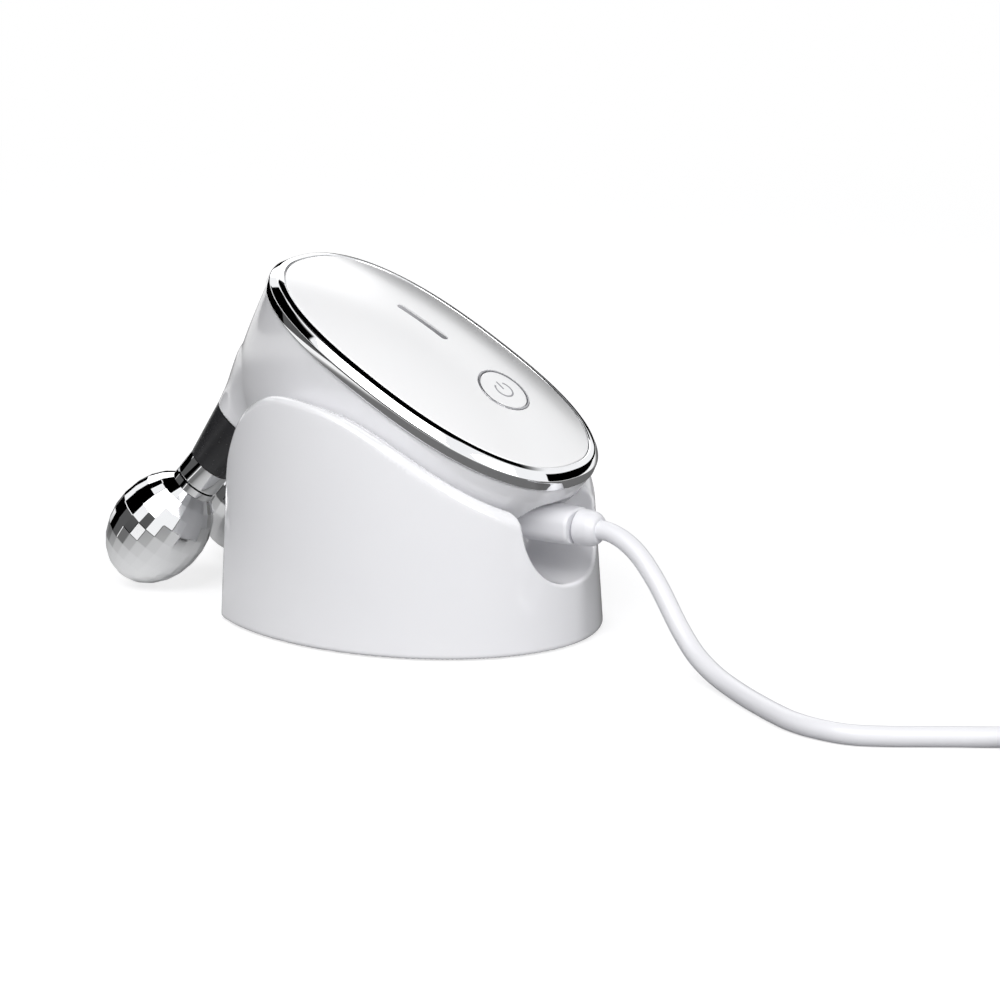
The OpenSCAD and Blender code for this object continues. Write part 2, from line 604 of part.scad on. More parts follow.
function heading(pts, i) = unit(pts[min(i + 1, len(pts) - 1)] - pts[max(i - 1, 0)]);
module cable() color("white") {
    pts = concat([[cable_start + fit_gap, 0, plug_z]], route);
    skin([for (i = [0 : len(pts) - 1]) cross_ring(pts[i], heading(pts, i), cable_d / 2)]);
}
coil_mean_r = 22;
coil_half_w = 1.5 * cable_d;
coil_h = 1.9 * cable_d;
coil_at = [192.6, -17.2];
module cable_coil() color("white") translate([coil_at.x, coil_at.y, 0]) rotate_extrude($fn = 96) polygon([
    [coil_mean_r - coil_half_w, 0.8], [coil_mean_r - coil_half_w + 0.8, 0], [coil_mean_r + coil_half_w - 0.8, 0],
    [coil_mean_r + coil_half_w, 0.8], [coil_mean_r + coil_half_w, cable_d - 0.8],
    [coil_mean_r + coil_half_w - 2, coil_h], [coil_mean_r - coil_half_w + 2, coil_h],
    [coil_mean_r - coil_half_w, cable_d - 0.8]]);
module coil_tie() color("dimgray") translate([coil_at.x, coil_at.y - coil_mean_r, 0]) difference() {
    translate([-2.5, -coil_half_w - 0.9, 0]) cube([5, 2 * coil_half_w + 1.8, coil_h + 0.9]);
    translate([-4, -coil_half_w - 0.3, -1]) cube([8, 2 * coil_half_w + 0.6, coil_h + 1.1]);
}
// The far plug lies on the coil
usb_grip_len = 20;
usb_w = 15;
usb_h = 8;
usb_at = [coil_at.x - 10.6, coil_at.y + 19, coil_h + usb_h / 2];
usb_shell_size = [12, 12, 4.5];
usb_shell_t = 0.4;
module at_usb(x) translate(usb_at + [x, 0, 0]) children();
module usb_grip() color("white") at_usb(0) rotate([0, 90, 0])
    linear_extrude(usb_grip_len) plug_section(usb_w, usb_h, 2);
module usb_shell() color("silver") at_usb(usb_grip_len)
    translate([0, -usb_shell_size.y / 2, -usb_shell_size.z / 2]) difference() {
        cube(usb_shell_size);
        translate([-1, usb_shell_t, usb_shell_t])
            cube([usb_shell_size.x + 2, usb_shell_size.y - 2 * usb_shell_t, usb_shell_size.z - 2 * usb_shell_t]);
    }
module usb_insert() color("white") at_usb(usb_grip_len)
    translate([0, usb_shell_t + 0.1 - usb_shell_size.y / 2, usb_shell_t + fit_gap - usb_shell_size.z / 2])
        cube([usb_shell_size.x - 1, usb_shell_size.y - 2 * usb_shell_t - 0.2, 1.8]);

holder_shell();
cradle_tray();
cradle_pads();
base_plate();
base_screws();
foot_pad();
lower_shell();
trim_ring();
top_cover();
button_bezel();
light_lens();
light_guide();
indicator_leds();
circuit_board();
board_screws();
switch_body();
power_button();
switch_plunger();
battery();
battery_foam();
battery_leads();
charge_socket();
socket_board();
charge_leads();
arm_yoke();
yoke_screws();
electrode_leads();
collar_near();
collar_far();
neck_near();
neck_far();
axle_near();
axle_far();
axle_clip_near();
axle_clip_far();
ball_near();
ball_far();
ball_bush_near();
ball_bush_far();
plug_grip();
plug_relief();
plug_tip();
cable();
cable_coil();
coil_tie();
usb_grip();
usb_shell();
usb_insert();
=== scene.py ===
"""Dresses a facial toning device, its holder and its charging lead for display.

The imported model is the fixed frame. Each sub-assembly below is a class that holds
its own sizes in millimetres, builds its meshes and gives them their finishes.
"""

from __future__ import annotations

import json
import logging
import math
from collections.abc import Callable, Iterable, Sequence
from dataclasses import dataclass
from enum import Enum

import bmesh
import bpy
import numpy as np
from bmesh.types import BMEdge, BMesh, BMVert
from bpy.types import Material, Mesh, Node, NodeSocket, NodeTree, Object
from mathutils import Matrix, Vector

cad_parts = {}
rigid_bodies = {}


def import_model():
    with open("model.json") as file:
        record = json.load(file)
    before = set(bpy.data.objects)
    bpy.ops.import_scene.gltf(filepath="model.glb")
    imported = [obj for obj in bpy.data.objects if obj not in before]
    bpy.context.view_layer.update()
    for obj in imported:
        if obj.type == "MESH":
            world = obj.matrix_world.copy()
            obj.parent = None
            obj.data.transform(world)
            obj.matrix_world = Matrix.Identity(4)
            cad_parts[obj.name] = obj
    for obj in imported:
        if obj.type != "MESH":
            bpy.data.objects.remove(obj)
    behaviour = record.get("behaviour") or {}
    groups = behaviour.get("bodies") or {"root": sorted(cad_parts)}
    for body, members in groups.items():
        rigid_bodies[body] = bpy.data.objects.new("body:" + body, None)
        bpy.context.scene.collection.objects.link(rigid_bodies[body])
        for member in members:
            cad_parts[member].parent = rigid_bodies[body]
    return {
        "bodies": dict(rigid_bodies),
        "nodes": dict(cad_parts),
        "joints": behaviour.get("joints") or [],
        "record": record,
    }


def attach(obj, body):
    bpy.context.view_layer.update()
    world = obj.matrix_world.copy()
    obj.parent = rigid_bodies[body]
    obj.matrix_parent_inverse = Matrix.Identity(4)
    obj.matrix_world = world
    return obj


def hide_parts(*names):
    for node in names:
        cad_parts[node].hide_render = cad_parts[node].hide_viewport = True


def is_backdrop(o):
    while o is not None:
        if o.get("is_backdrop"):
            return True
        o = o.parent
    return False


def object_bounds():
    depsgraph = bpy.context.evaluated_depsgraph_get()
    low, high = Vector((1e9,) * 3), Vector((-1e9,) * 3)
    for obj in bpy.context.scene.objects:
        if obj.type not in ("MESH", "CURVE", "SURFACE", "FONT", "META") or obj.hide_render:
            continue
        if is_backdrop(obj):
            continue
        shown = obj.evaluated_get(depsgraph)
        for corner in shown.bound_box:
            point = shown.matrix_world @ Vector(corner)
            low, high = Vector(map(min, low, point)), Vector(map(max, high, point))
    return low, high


LOG = logging.getLogger("facial_toner")
MM = 0.001
FULL = 2 * math.pi
ABOUT_Z = {"axis": (0, 0, 1), "cent": (0, 0, 0)}
Array = np.ndarray
Field = Callable[[Array], Array]
Rgb = tuple[float, float, float]
Pair = tuple[float, float]
Triple = tuple[float, float, float]


class Body(Enum):
    """The moving bodies of the frame."""

    HOLDER = "holder"
    DEVICE = "device"
    BUTTON = "button"
    ROLLER_NEAR = "roller_near"
    ROLLER_FAR = "roller_far"
    LEAD = "lead"


class Side(Enum):
    """The two arms, by the sign of their place across the middle plane."""

    NEAR = -1
    FAR = 1

    @property
    def word(self) -> str:
        """The side's word in node names."""
        return self.name.lower()

    @property
    def roller(self) -> Body:
        """The body that this side's ball turns with."""
        return Body[f"ROLLER_{self.name}"]


# ---------------------------------------------------------------- materials


class Net:
    """A node tree, and the ways in which nodes are added to it."""

    def __init__(self, tree: NodeTree) -> None:
        """Empties the tree."""
        tree.nodes.clear()
        self.tree = tree

    def feed(self, node: Node, inputs: dict[str | int, object]) -> None:
        """Gives each named input of a node the socket that feeds it, or its plain value.

        Args:
            node: the node.
            inputs: a socket or a plain value for each input that needs one.
        """
        for key, value in inputs.items():
            if isinstance(value, NodeSocket):
                self.tree.links.new(value, node.inputs[key])
            else:
                node.inputs[key].default_value = value

    def add(self, kind: str, inputs: dict[str | int, object] | None = None, **settings: object) -> Node:
        """Adds a node.

        Args:
            kind: Blender's name of the node type, without its common start.
            inputs: a socket or a plain value for each input that needs one.
            settings: properties to set on the node.

        Returns:
            The new node.
        """
        node = self.tree.nodes.new(f"ShaderNode{kind}")
        for key, value in settings.items():
            setattr(node, key, value)
        self.feed(node, inputs or {})
        return node

    def calc(self, operation: str, first: object, second: object) -> NodeSocket:
        """The outcome of a sum on two values, each a number or a socket."""
        return self.add("Math", {0: first, 1: second}, operation=operation).outputs[0]

    def length(self, vector: NodeSocket, place: Triple | None = None) -> NodeSocket:
        """A vector's length, or its distance from a place.

        Args:
            vector: the vector.
            place: where the distance is taken from, or None for the plain length.

        Returns:
            The socket with the length.
        """
        inputs = {0: vector} if place is None else {0: vector, 1: place}
        operation = "LENGTH" if place is None else "DISTANCE"
        return self.add("VectorMath", inputs, operation=operation).outputs["Value"]

    def ranged(self, value: NodeSocket, source: Pair = (0.0, 1.0), target: tuple[object, object] = (0.0, 1.0),
               shape: str = "LINEAR") -> NodeSocket:
        """Maps a value from one range onto another, whose ends may be sockets."""
        ends = {"From Min": source[0], "From Max": source[1], "To Min": target[0], "To Max": target[1]}
        return self.add("MapRange", {"Value": value, **ends}, interpolation_type=shape).outputs["Result"]

    def blend(self, factor: NodeSocket, first: object, second: object) -> NodeSocket:
        """Mixes two colours, each a triple or a socket, by a factor."""
        first, second = (end if isinstance(end, NodeSocket) else (*end, 1.0) for end in (first, second))
        return self.add("Mix", {"Factor": factor, 6: first, 7: second}, data_type="RGBA").outputs[2]


class Graph(Net):
    """A material's node tree, with the patterns that the finishes share."""

    def __init__(self, name: str) -> None:
        """Starts a material of that name, with a shader wired to its output.

        Args:
            name: the material's name.
        """
        self.material = bpy.data.materials.new(name)
        self.material.use_nodes = True
        super().__init__(self.material.node_tree)
        self.shader = self.add("BsdfPrincipled")
        self.add("OutputMaterial", {"Surface": self.shader.outputs["BSDF"]})
        self.coords = self.add("TexCoord").outputs["Object"]

    def dress(self, color: NodeSocket, rough: object, more: dict[str, object] | None = None) -> Material:
        """Wires the shader's colour, its roughness and more of its inputs, and gives the material."""
        self.feed(self.shader, {"Base Color": color, "Roughness": rough, **(more or {})})
        return self.material

    def noise(self, scale: float, detail: float = 3.0, stretch: Triple = (1, 1, 1)) -> NodeSocket:
        """A noise pattern, by its cells per metre, its octaves and its stretch along X, Y and Z.

        Args:
            scale: cells per unit of the coordinates.
            detail: octaves of the noise.
            stretch: factors along X, Y and Z.

        Returns:
            The socket with its value.
        """
        source = self.coords
        if stretch != (1, 1, 1):
            source = self.add("Mapping", {"Vector": source, "Scale": stretch}).outputs["Vector"]
        return self.add("TexNoise", {"Vector": source, "Scale": scale, "Detail": detail}).outputs["Fac"]

    def span(self, pattern: NodeSocket, low: float = 0.0, high: float = 1.0) -> NodeSocket:
        """Maps a pattern's middle values onto a range."""
        return self.ranged(pattern, (0.3, 0.7), (low, high))

    def bump(self, height: NodeSocket, strength: float, step: float) -> NodeSocket:
        """The normals of a surface raised by a pattern, whose full step is in millimetres."""
        inputs = {"Height": height, "Strength": strength, "Distance": step * MM}
        return self.add("Bump", inputs).outputs["Normal"]


@dataclass(frozen=True)
class Moulded:
    """Moulded plastic, rubber or painted skin, with a faint mottle and a fine grain."""

    light: Rgb
    shade: Rgb
    rough: Pair
    grain: float = 900.0
    mottle: float = 45.0
    bump: float = 0.12
    coat: float = 0.0
    coat_rough: float = 0.05

    def build(self, name: str) -> Material:
        """Makes the material.

        Args:
            name: the material's name.

        Returns:
            The material.
        """
        graph = Graph(name)
        tint = graph.blend(graph.span(graph.noise(self.mottle)), self.light, self.shade)
        fine = graph.noise(self.grain, 4.0)
        coat = {"Coat Weight": self.coat, "Coat Roughness": self.coat_rough}
        normal = graph.bump(fine, self.bump, 0.04)
        return graph.dress(tint, graph.span(fine, *self.rough), {"Normal": normal, **coat})


@dataclass(frozen=True)
class Plated:
    """Plated, brushed or turned metal."""

    light: Rgb
    shade: Rgb
    rough: Pair
    grain: float = 300.0
    stretch: Triple = (1, 1, 1)
    bump: float = 0.0

    def build(self, name: str) -> Material:
        """Makes the material.

        Args:
            name: the material's name.

        Returns:
            The material.
        """
        graph = Graph(name)
        wear = graph.noise(self.grain, 4.0, self.stretch)
        tint = graph.blend(graph.span(wear), self.light, self.shade)
        more = {"Metallic": 1.0}
        if self.bump > 0:
            more["Normal"] = graph.bump(wear, self.bump, 0.03)
        return graph.dress(tint, graph.span(wear, *self.rough), more)


@dataclass(frozen=True)
class Sleeved:
    """Soft white plastic of the lead, darker where an attribute of the piece marks painted shade."""

    light: Rgb
    shade: Rgb
    rough: Pair

    def build(self, name: str) -> Material:
        """Makes the material.

        Args:
            name: the material's name.

        Returns:
            The material.
        """
        graph = Graph(name)
        # The attribute marks painted shade: its darker colour stands in for the shadow and occlusion in the
        # grip's sunk front zone.
        tone = graph.add("Attribute", attribute_name="tone").outputs["Fac"]
        fine = graph.noise(1300.0, 4.0)
        tint = graph.blend(tone, self.light, self.shade)
        return graph.dress(tint, graph.span(fine, *self.rough), {"Normal": graph.bump(fine, 0.2, 0.03)})


@dataclass(frozen=True)
class LitLens:
    """A milky light strip that darkens from one place along the device to another, in metres."""

    pale: Rgb
    deep: Rgb
    ends: Pair

    def build(self, name: str) -> Material:
        """Makes the material.

        Args:
            name: the material's name.

        Returns:
            The material.
        """
        graph = Graph(name)
        along = graph.add("SeparateXYZ", {"Vector": graph.coords}).outputs["X"]
        ramp = graph.add("ValToRGB", {"Fac": graph.ranged(along, self.ends)})
        for stop, color in zip(ramp.color_ramp.elements, (self.pale, self.deep)):
            stop.color = (*color, 1.0)
        cloud = graph.span(graph.noise(400.0), 0.0, 0.12)
        tint = graph.blend(cloud, ramp.outputs["Color"], (0.6, 0.6, 0.62))
        return graph.dress(tint, graph.span(graph.noise(700.0), 0.18, 0.3))


@dataclass(frozen=True)
class Board:
    """Lacquered circuit board with a weave under its green mask."""

    def build(self, name: str) -> Material:
        """Makes the material.

        Args:
            name: the material's name.

        Returns:
            The material.
        """
        graph = Graph(name)
        tints = {"Color1": (0.02, 0.16, 0.06, 1), "Color2": (0.025, 0.2, 0.08, 1)}
        weave = graph.add("TexChecker", {"Vector": graph.coords, "Scale": 1400.0, **tints}).outputs["Color"]
        tint = graph.blend(graph.span(graph.noise(260.0, 1.0), 0.0, 0.6), weave, (0.06, 0.3, 0.12))
        return graph.dress(tint, graph.span(graph.noise(900.0), 0.25, 0.4))


@dataclass(frozen=True)
class HookAndLoop:
    """The fuzzy black strap of the coil's tie."""

    def build(self, name: str) -> Material:
        """Makes the material.

        Args:
            name: the material's name.

        Returns:
            The material.
        """
        graph = Graph(name)
        cells = graph.add("TexVoronoi", {"Vector": graph.coords, "Scale": 2200.0}).outputs["Distance"]
        tint = graph.blend(cells, (0.05, 0.05, 0.055), (0.012, 0.012, 0.014))
        return graph.dress(tint, 0.85, {"Normal": graph.bump(cells, 0.6, 0.2)})


WHITE, COOL = (0.885, 0.885, 0.905), (0.865, 0.865, 0.89)
FINISHES = {
    "gloss_white": Moulded(WHITE, COOL, (0.1, 0.15), 1500, 30, 0.03, 0.5),
    "cover_white": Moulded((0.9, 0.9, 0.905), (0.885, 0.885, 0.895), (0.3, 0.36), 1500, 30, 0.02, 1.0, 0.24),
    # The shell's white is the holder's gloss white made greyer: painted shade that stands in for the shade on
    # the shell's side under the ring.
    "shell_white_painted_shade": Moulded((0.8, 0.8, 0.82), (0.78, 0.78, 0.8), (0.1, 0.15), 1500, 30, 0.03, 0.5),
    "matte_white": Moulded((0.78, 0.78, 0.79), (0.72, 0.72, 0.74), (0.4, 0.55), 1100, 60, 0.3),
    "soft_grey": Moulded((0.46, 0.46, 0.48), (0.38, 0.38, 0.4), (0.6, 0.8), 1500, 80, 0.5),
    "steel": Plated((0.62, 0.63, 0.65), (0.48, 0.49, 0.51), (0.22, 0.38), 500, (1, 1, 6), 0.15),
    "chrome": Plated((0.92, 0.925, 0.93), (0.88, 0.885, 0.895), (0.015, 0.035), 120),
    "silver": Plated((0.56, 0.56, 0.58), (0.46, 0.46, 0.48), (0.22, 0.32), 900, bump=0.1),
    "lens": LitLens((0.3, 0.3, 0.315), (0.07, 0.07, 0.08), (-0.001, 0.0117)),
    "led": Moulded((0.86, 0.84, 0.66), (0.78, 0.75, 0.55), (0.25, 0.4), 900, 200),
    "board": Board(),
    "cell": Moulded((0.46, 0.51, 0.57), (0.38, 0.43, 0.5), (0.3, 0.45), 700, 90, 0.2),
    "wire_red": Moulded((0.5, 0.03, 0.025), (0.4, 0.02, 0.02), (0.35, 0.5), 900, 200),
    "black_plastic": Moulded((0.035, 0.035, 0.038), (0.02, 0.02, 0.022), (0.4, 0.55), 1300, 90, 0.35),
    "copper": Plated((0.72, 0.42, 0.24), (0.6, 0.33, 0.18), (0.25, 0.4), 500),
    "collar_black": Moulded((0.022, 0.022, 0.024), (0.014, 0.014, 0.016), (0.2, 0.28), 1600, 60, 0.15),
    "bronze": Plated((0.5, 0.34, 0.16), (0.36, 0.23, 0.1), (0.35, 0.5), 800, bump=0.3),
    # The lead's second colour is painted shade, for the grip's sunk front zone under the device.
    "cable_white": Sleeved((0.83, 0.83, 0.86), (0.62, 0.62, 0.67), (0.28, 0.38)),
    "tie_black": HookAndLoop(),
    "glyph_grey": Moulded((0.33, 0.33, 0.35), (0.26, 0.26, 0.28), (0.35, 0.45), 1200, 200),
}


class Palette:
    """Every finish, made once, and the pieces and nodes that it is given to."""

    def __init__(self) -> None:
        """Makes the finishes."""
        self.made: dict[str, Material] = {name: finish.build(name) for name, finish in FINISHES.items()}

    def dress_frame(self, frame: dict) -> None:
        """Gives every carried-over node the finish of its slot in the record.

        Args:
            frame: what the frame was loaded as.
        """
        slots = {row["node"]: row["material_slot"] for row in frame["record"]["subparts"]}
        for name, obj in frame["nodes"].items():
            for slot in obj.material_slots:
                slot.material = self.made[slots[name]]

    def place(self, name: str, mesh: Mesh, body: Body, finish: str, *nodes: str) -> Object:
        """Turns a mesh in millimetres into a finished piece.

        Args:
            name: the piece's name.
            mesh: its mesh, in place.
            body: the body that it rides on.
            finish: the name of its finish.
            nodes: the frame's nodes that it stands for.

        Returns:
            The piece.
        """
        mesh.name = name
        mesh.transform(Matrix.Scale(MM, 4))
        mesh.materials.clear()
        mesh.materials.append(self.made[finish])
        obj = bpy.data.objects.new(name, mesh)
        bpy.context.scene.collection.objects.link(obj)
        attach(obj, body.value)
        if nodes:
            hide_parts(*nodes)
        LOG.info("%s: %d faces on %s", name, len(mesh.polygons), body.value)
        return obj


# ---------------------------------------------------------------- meshes


def superellipse(a: float, b: float, n: float, power: float, steps: int, mid: float = 0.0) -> Array:
    """A ring of points on a superellipse.

    Args:
        a: half length along X.
        b: half width along Y.
        n: height.
        power: fullness, where 2 is an ellipse.
        steps: number of points.
        mid: place of its middle along X.

    Returns:
        An array of shape (steps, 3).
    """
    t = np.linspace(0, FULL, steps, endpoint=False)
    c, s = np.cos(t), np.sin(t)
    x = mid + a * np.sign(c) * np.abs(c) ** (2 / power)
    y = b * np.sign(s) * np.abs(s) ** (2 / power)
    return np.stack([x, y, np.full(steps, float(n))], 1)


def across(x: float, ring: Array, place: Pair) -> Array:
    """A flat ring stood up across X, its X taken along Y and its Y upwards, round a place in Y and Z."""
    return np.stack([np.full(len(ring), x), ring[:, 0] + place[0], ring[:, 1] + place[1]], 1)


def verts_in(geom: Iterable[object]) -> list[BMVert]:
    """The vertices among what a mesh operator gives back."""
    return [g for g in geom if isinstance(g, BMVert)]


def loft(rings: Sequence[Array], loop: bool = False) -> BMesh:
    """Skins rings of equal length, extruding one to the next.

    Args:
        rings: the rings, each an array of points in the same order.
        loop: whether the last ring joins the first, instead of caps at both ends.

    Returns:
        The closed bmesh.
    """
    bm = bmesh.new()
    tag = bm.verts.layers.int.new("place")
    made = bmesh.ops.create_circle(bm, cap_ends=not loop, segments=len(rings[0]), radius=1.0)
    for index, vert in enumerate(made["verts"]):
        vert[tag] = index
        vert.co = rings[0][index]
    first = list(bm.edges)
    edges = first
    for ring in rings[1:]:
        grown = bmesh.ops.extrude_edge_only(bm, edges=edges)["geom"]
        verts = set(verts_in(grown))
        for vert in verts:
            vert.co = ring[vert[tag]]
        edges = [g for g in grown if isinstance(g, BMEdge) and set(g.verts) <= verts]
    if loop:
        bmesh.ops.bridge_loops(bm, edges=first + edges)
    else:
        bmesh.ops.edgeloop_fill(bm, edges=edges)
    bmesh.ops.recalc_face_normals(bm, faces=bm.faces)
    return bm


def turned(profile: Sequence[Pair], steps: int = 96) -> BMesh:
    """Spins a profile of (radius, height) points about Z.

    Args:
        profile: the points, from axis to axis, or a closed loop if neither end is on the axis.
        steps: number of steps round.

    Returns:
        The closed bmesh.
    """
    bm = bmesh.new()
    verts = [bm.verts.new((r, 0.0, z)) for r, z in profile]
    edges = [bm.edges.new(pair) for pair in zip(verts, verts[1:])]
    if max(profile[0][0], profile[-1][0]) > 1e-6:
        edges.append(bm.edges.new((verts[-1], verts[0])))
    bmesh.ops.spin(bm, geom=verts + edges, angle=FULL, steps=steps, use_merge=True, **ABOUT_Z)
    bmesh.ops.remove_doubles(bm, verts=bm.verts, dist=1e-4)
    bmesh.ops.recalc_face_normals(bm, faces=bm.faces)
    return bm


def eased(points: Sequence[Pair], radii: Sequence[float], steps: int = 5) -> list[Pair]:
    """Rounds the corners of a line.

    Args:
        points: its corners.
        radii: reach of the rounding at each corner, 0 where it stays sharp.
        steps: segments of each rounding.

    Returns:
        The points of the rounded line.
    """
    out: list[Pair] = []
    for index, (point, radius) in enumerate(zip(points, radii)):
        if radius <= 0:
            out.append(point)
            continue
        here = Vector(point)
        before, after = (here + (Vector(end) - here).normalized() * radius
                         for end in (points[index - 1], points[index + 1]))
        for k in range(steps + 1):
            t = k / steps
            out.append(tuple((1 - t) ** 2 * before + 2 * t * (1 - t) * here + t * t * after))
    return out


def block(low: Sequence[float], high: Sequence[float], edge: float = 0.0, segments: int = 2) -> BMesh:
    """A box between two corners, with its edges rounded by so much.

    Args:
        low: its lowest corner.
        high: its highest corner.
        edge: reach of the rounding, or 0 for sharp edges.
        segments: segments of the rounding.

    Returns:
        The bmesh.
    """
    bm = bmesh.new()
    bmesh.ops.create_cube(bm, size=1.0)
    lo, hi = Vector(low), Vector(high)
    bmesh.ops.scale(bm, vec=hi - lo, verts=bm.verts)
    bmesh.ops.translate(bm, vec=(lo + hi) / 2, verts=bm.verts)
    if edge > 0:
        bevel(bm, bm.edges[:], edge, segments)
    return bm


def bevel(bm: BMesh, edges: list[BMEdge], offset: float, segments: int, clamp: bool = False) -> None:
    """Rounds edges of a bmesh, held back at tight places if clamp is set."""
    bmesh.ops.bevel(bm, geom=edges, offset=offset, segments=segments, profile=0.5, affect="EDGES",
                    material=-1, clamp_overlap=clamp)


def thickened(bm: BMesh, thickness: float) -> None:
    """Gives the open faces of a bmesh a thickness, with their normals outwards.

    Args:
        bm: the bmesh, changed in place.
        thickness: how thick, and below 0 to the other side.
    """
    bmesh.ops.recalc_face_normals(bm, faces=bm.faces)
    bmesh.ops.solidify(bm, geom=bm.faces[:], thickness=thickness)
    bmesh.ops.recalc_face_normals(bm, faces=bm.faces)


def scratch(bm: BMesh, name: str) -> Object:
    """Puts a bmesh in a scene object for modifiers to use, and frees it.

    Args:
        bm: the bmesh, which is freed.
        name: the object's name.

    Returns:
        The object.
    """
    mesh = bpy.data.meshes.new(name)
    bm.to_mesh(mesh)
    bm.free()
    obj = bpy.data.objects.new(name, mesh)
    bpy.context.scene.collection.objects.link(obj)
    return obj


def shaped(start: BMesh, joins: Sequence[BMesh] = (), cuts: Sequence[BMesh] = (), voxel: float = 0.0) -> Mesh:
    """Joins and cuts solids, and lays an even skin over the result.

    Args:
        start: the first solid, which is used up.
        joins: solids to add.
        cuts: solids to take away.
        voxel: spacing of the new skin, or 0 to keep the cut faces.

    Returns:
        The mesh of the result.
    """
    base = scratch(start, "scratch_base")
    tools = []
    for kind, solids in (("UNION", joins), ("DIFFERENCE", cuts)):
        for solid in solids:
            tools.append(scratch(solid, "scratch_tool"))
            step = base.modifiers.new("cut", "BOOLEAN")
            step.operation, step.solver, step.object = kind, "EXACT", tools[-1]
    if voxel > 0:
        skin = base.modifiers.new("skin", "REMESH")
        skin.mode, skin.voxel_size = "VOXEL", voxel
    graph = bpy.context.evaluated_depsgraph_get()
    mesh = bpy.data.meshes.new_from_object(base.evaluated_get(graph))
    for obj in (base, *tools):
        old = obj.data
        bpy.data.objects.remove(obj)
        bpy.data.meshes.remove(old)
    return mesh


def smooth(bm: BMesh, place: Matrix | None = None, angle: float = 40.0) -> Mesh:
    """Moves a bmesh into place and makes it a smooth-shaded mesh.

    Args:
        bm: the bmesh, which is freed.
        place: where it goes.
        angle: edges sharper than this stay sharp, in degrees; 0 keeps every facet flat.

    Returns:
        The mesh.
    """
    if place is not None:
        bm.transform(place)
    mesh = bpy.data.meshes.new("piece")
    bm.to_mesh(mesh)
    bm.free()
    if angle > 0:
        mesh.shade_smooth()
        mesh.set_sharp_from_angle(angle=math.radians(angle))
    return mesh


def read(items: bpy.types.bpy_prop_collection, key: str, width: int, kind: type = np.float32) -> Array:
    """One property of every item of a mesh, as an array with a row for each.

    Args:
        items: the mesh's vertices, edges, loops or faces.
        key: the name of the property.
        width: numbers in each.
        kind: type of the numbers.

    Returns:
        An array of shape (items, width).
    """
    flat = np.zeros(len(items) * width, kind)
    items.foreach_get(key, flat)
    return flat.reshape(-1, width)


def points_of(mesh: Mesh) -> Array:
    """A mesh's points."""
    return read(mesh.vertices, "co", 3).astype(float)


# ---------------------------------------------------------------- fields


def round_cut(a: Array, b: Array, radius: float) -> Array:
    """Distance to what lies in both of two fields, with a rounded edge."""
    corner = np.hypot(np.maximum(radius + a, 0), np.maximum(radius + b, 0))
    return np.minimum(-radius, np.maximum(a, b)) + corner


def round_join(a: Array, b: Array, radius: float) -> Array:
    """Distance to what lies in either of two fields, with a filleted crease."""
    return -round_cut(-a, -b, radius)


def oval(x: Array, y: Array, power: float) -> Array:
    """A superellipse's field in its own half sizes, 1 on its line."""
    return (np.abs(x) ** power + np.abs(y) ** power) ** (1 / power)


def levelled(raw: Field, points: Array, step: float = 0.03) -> Array:
    """Turns any field that is zero on its surface into one in millimetres near it.

    Args:
        raw: the field.
        points: places, one to a row.
        step: length of the steps that its slope is taken over.

    Returns:
        The distance of each place in millimetres, negative inside.
    """
    here = raw(points)
    total = np.zeros(len(points))
    for axis in range(3):
        moved = points.copy()
        moved[:, axis] += step
        total += ((raw(moved) - here) / step) ** 2
    return here / np.sqrt(np.maximum(total, 1e-8))


def slope(field: Field, points: Array, step: float = 0.02) -> Array:
    """The gradient of a field by central differences.

    Args:
        field: the field.
        points: places, one to a row.
        step: half the span of the differences.

    Returns:
        The gradient at each place.
    """
    out = np.zeros_like(points)
    for axis in range(3):
        ahead, behind = points.copy(), points.copy()
        ahead[:, axis] += step
        behind[:, axis] -= step
        out[:, axis] = (field(ahead) - field(behind)) / (2 * step)
    return out


def relaxed(points: Array, pairs: Array) -> Array:
    """Points drawn halfway to the middle of those that they share an edge with.

    Args:
        points: places, one to a row.
        pairs: the two ends of each edge, as row numbers.

    Returns:
        The new places.
    """
    count = len(points)
    shares = np.maximum(np.bincount(pairs.ravel(), minlength=count), 1)
    first, second = pairs.T
    out = points.copy()
    for axis in range(3):
        line = points[:, axis]
        near = np.bincount(first, line[second], count) + np.bincount(second, line[first], count)
        out[:, axis] = (line + near / shares) / 2
    return out


def settle(mesh: Mesh, near: Callable[[Array], Field], rounds: int = 8, last: int = 3,
           stride: float = 0.5) -> None:
    """Draws a mesh's points onto a field's surface and takes its normals from the field.

    Args:
        mesh: the mesh, changed in place.
        near: given points, makes the field that holds close to each of them.
        rounds: number of steps.
        last: number of steps at the end that don't even the points out first.
        stride: length of the longest step.
    """
    points = points_of(mesh)
    pairs = read(mesh.edges, "vertices", 2, np.int32)
    for turn in range(rounds):
        if turn < rounds - last:
            points = relaxed(points, pairs)
        field = near(points)
        gradient = slope(field, points)
        step = -(field(points) / np.maximum((gradient**2).sum(1), 0.05))[:, None] * gradient
        length = np.linalg.norm(step, axis=1, keepdims=True)
        points += step * np.minimum(1.0, stride / np.maximum(length, 1e-9))
    gradient = slope(near(points), points)
    gradient /= np.maximum(np.linalg.norm(gradient, axis=1, keepdims=True), 1e-9)
    mesh.vertices.foreach_set("co", points.astype(np.float32).ravel())
    mesh.update()
    guide_normals(mesh, gradient, 50.0)


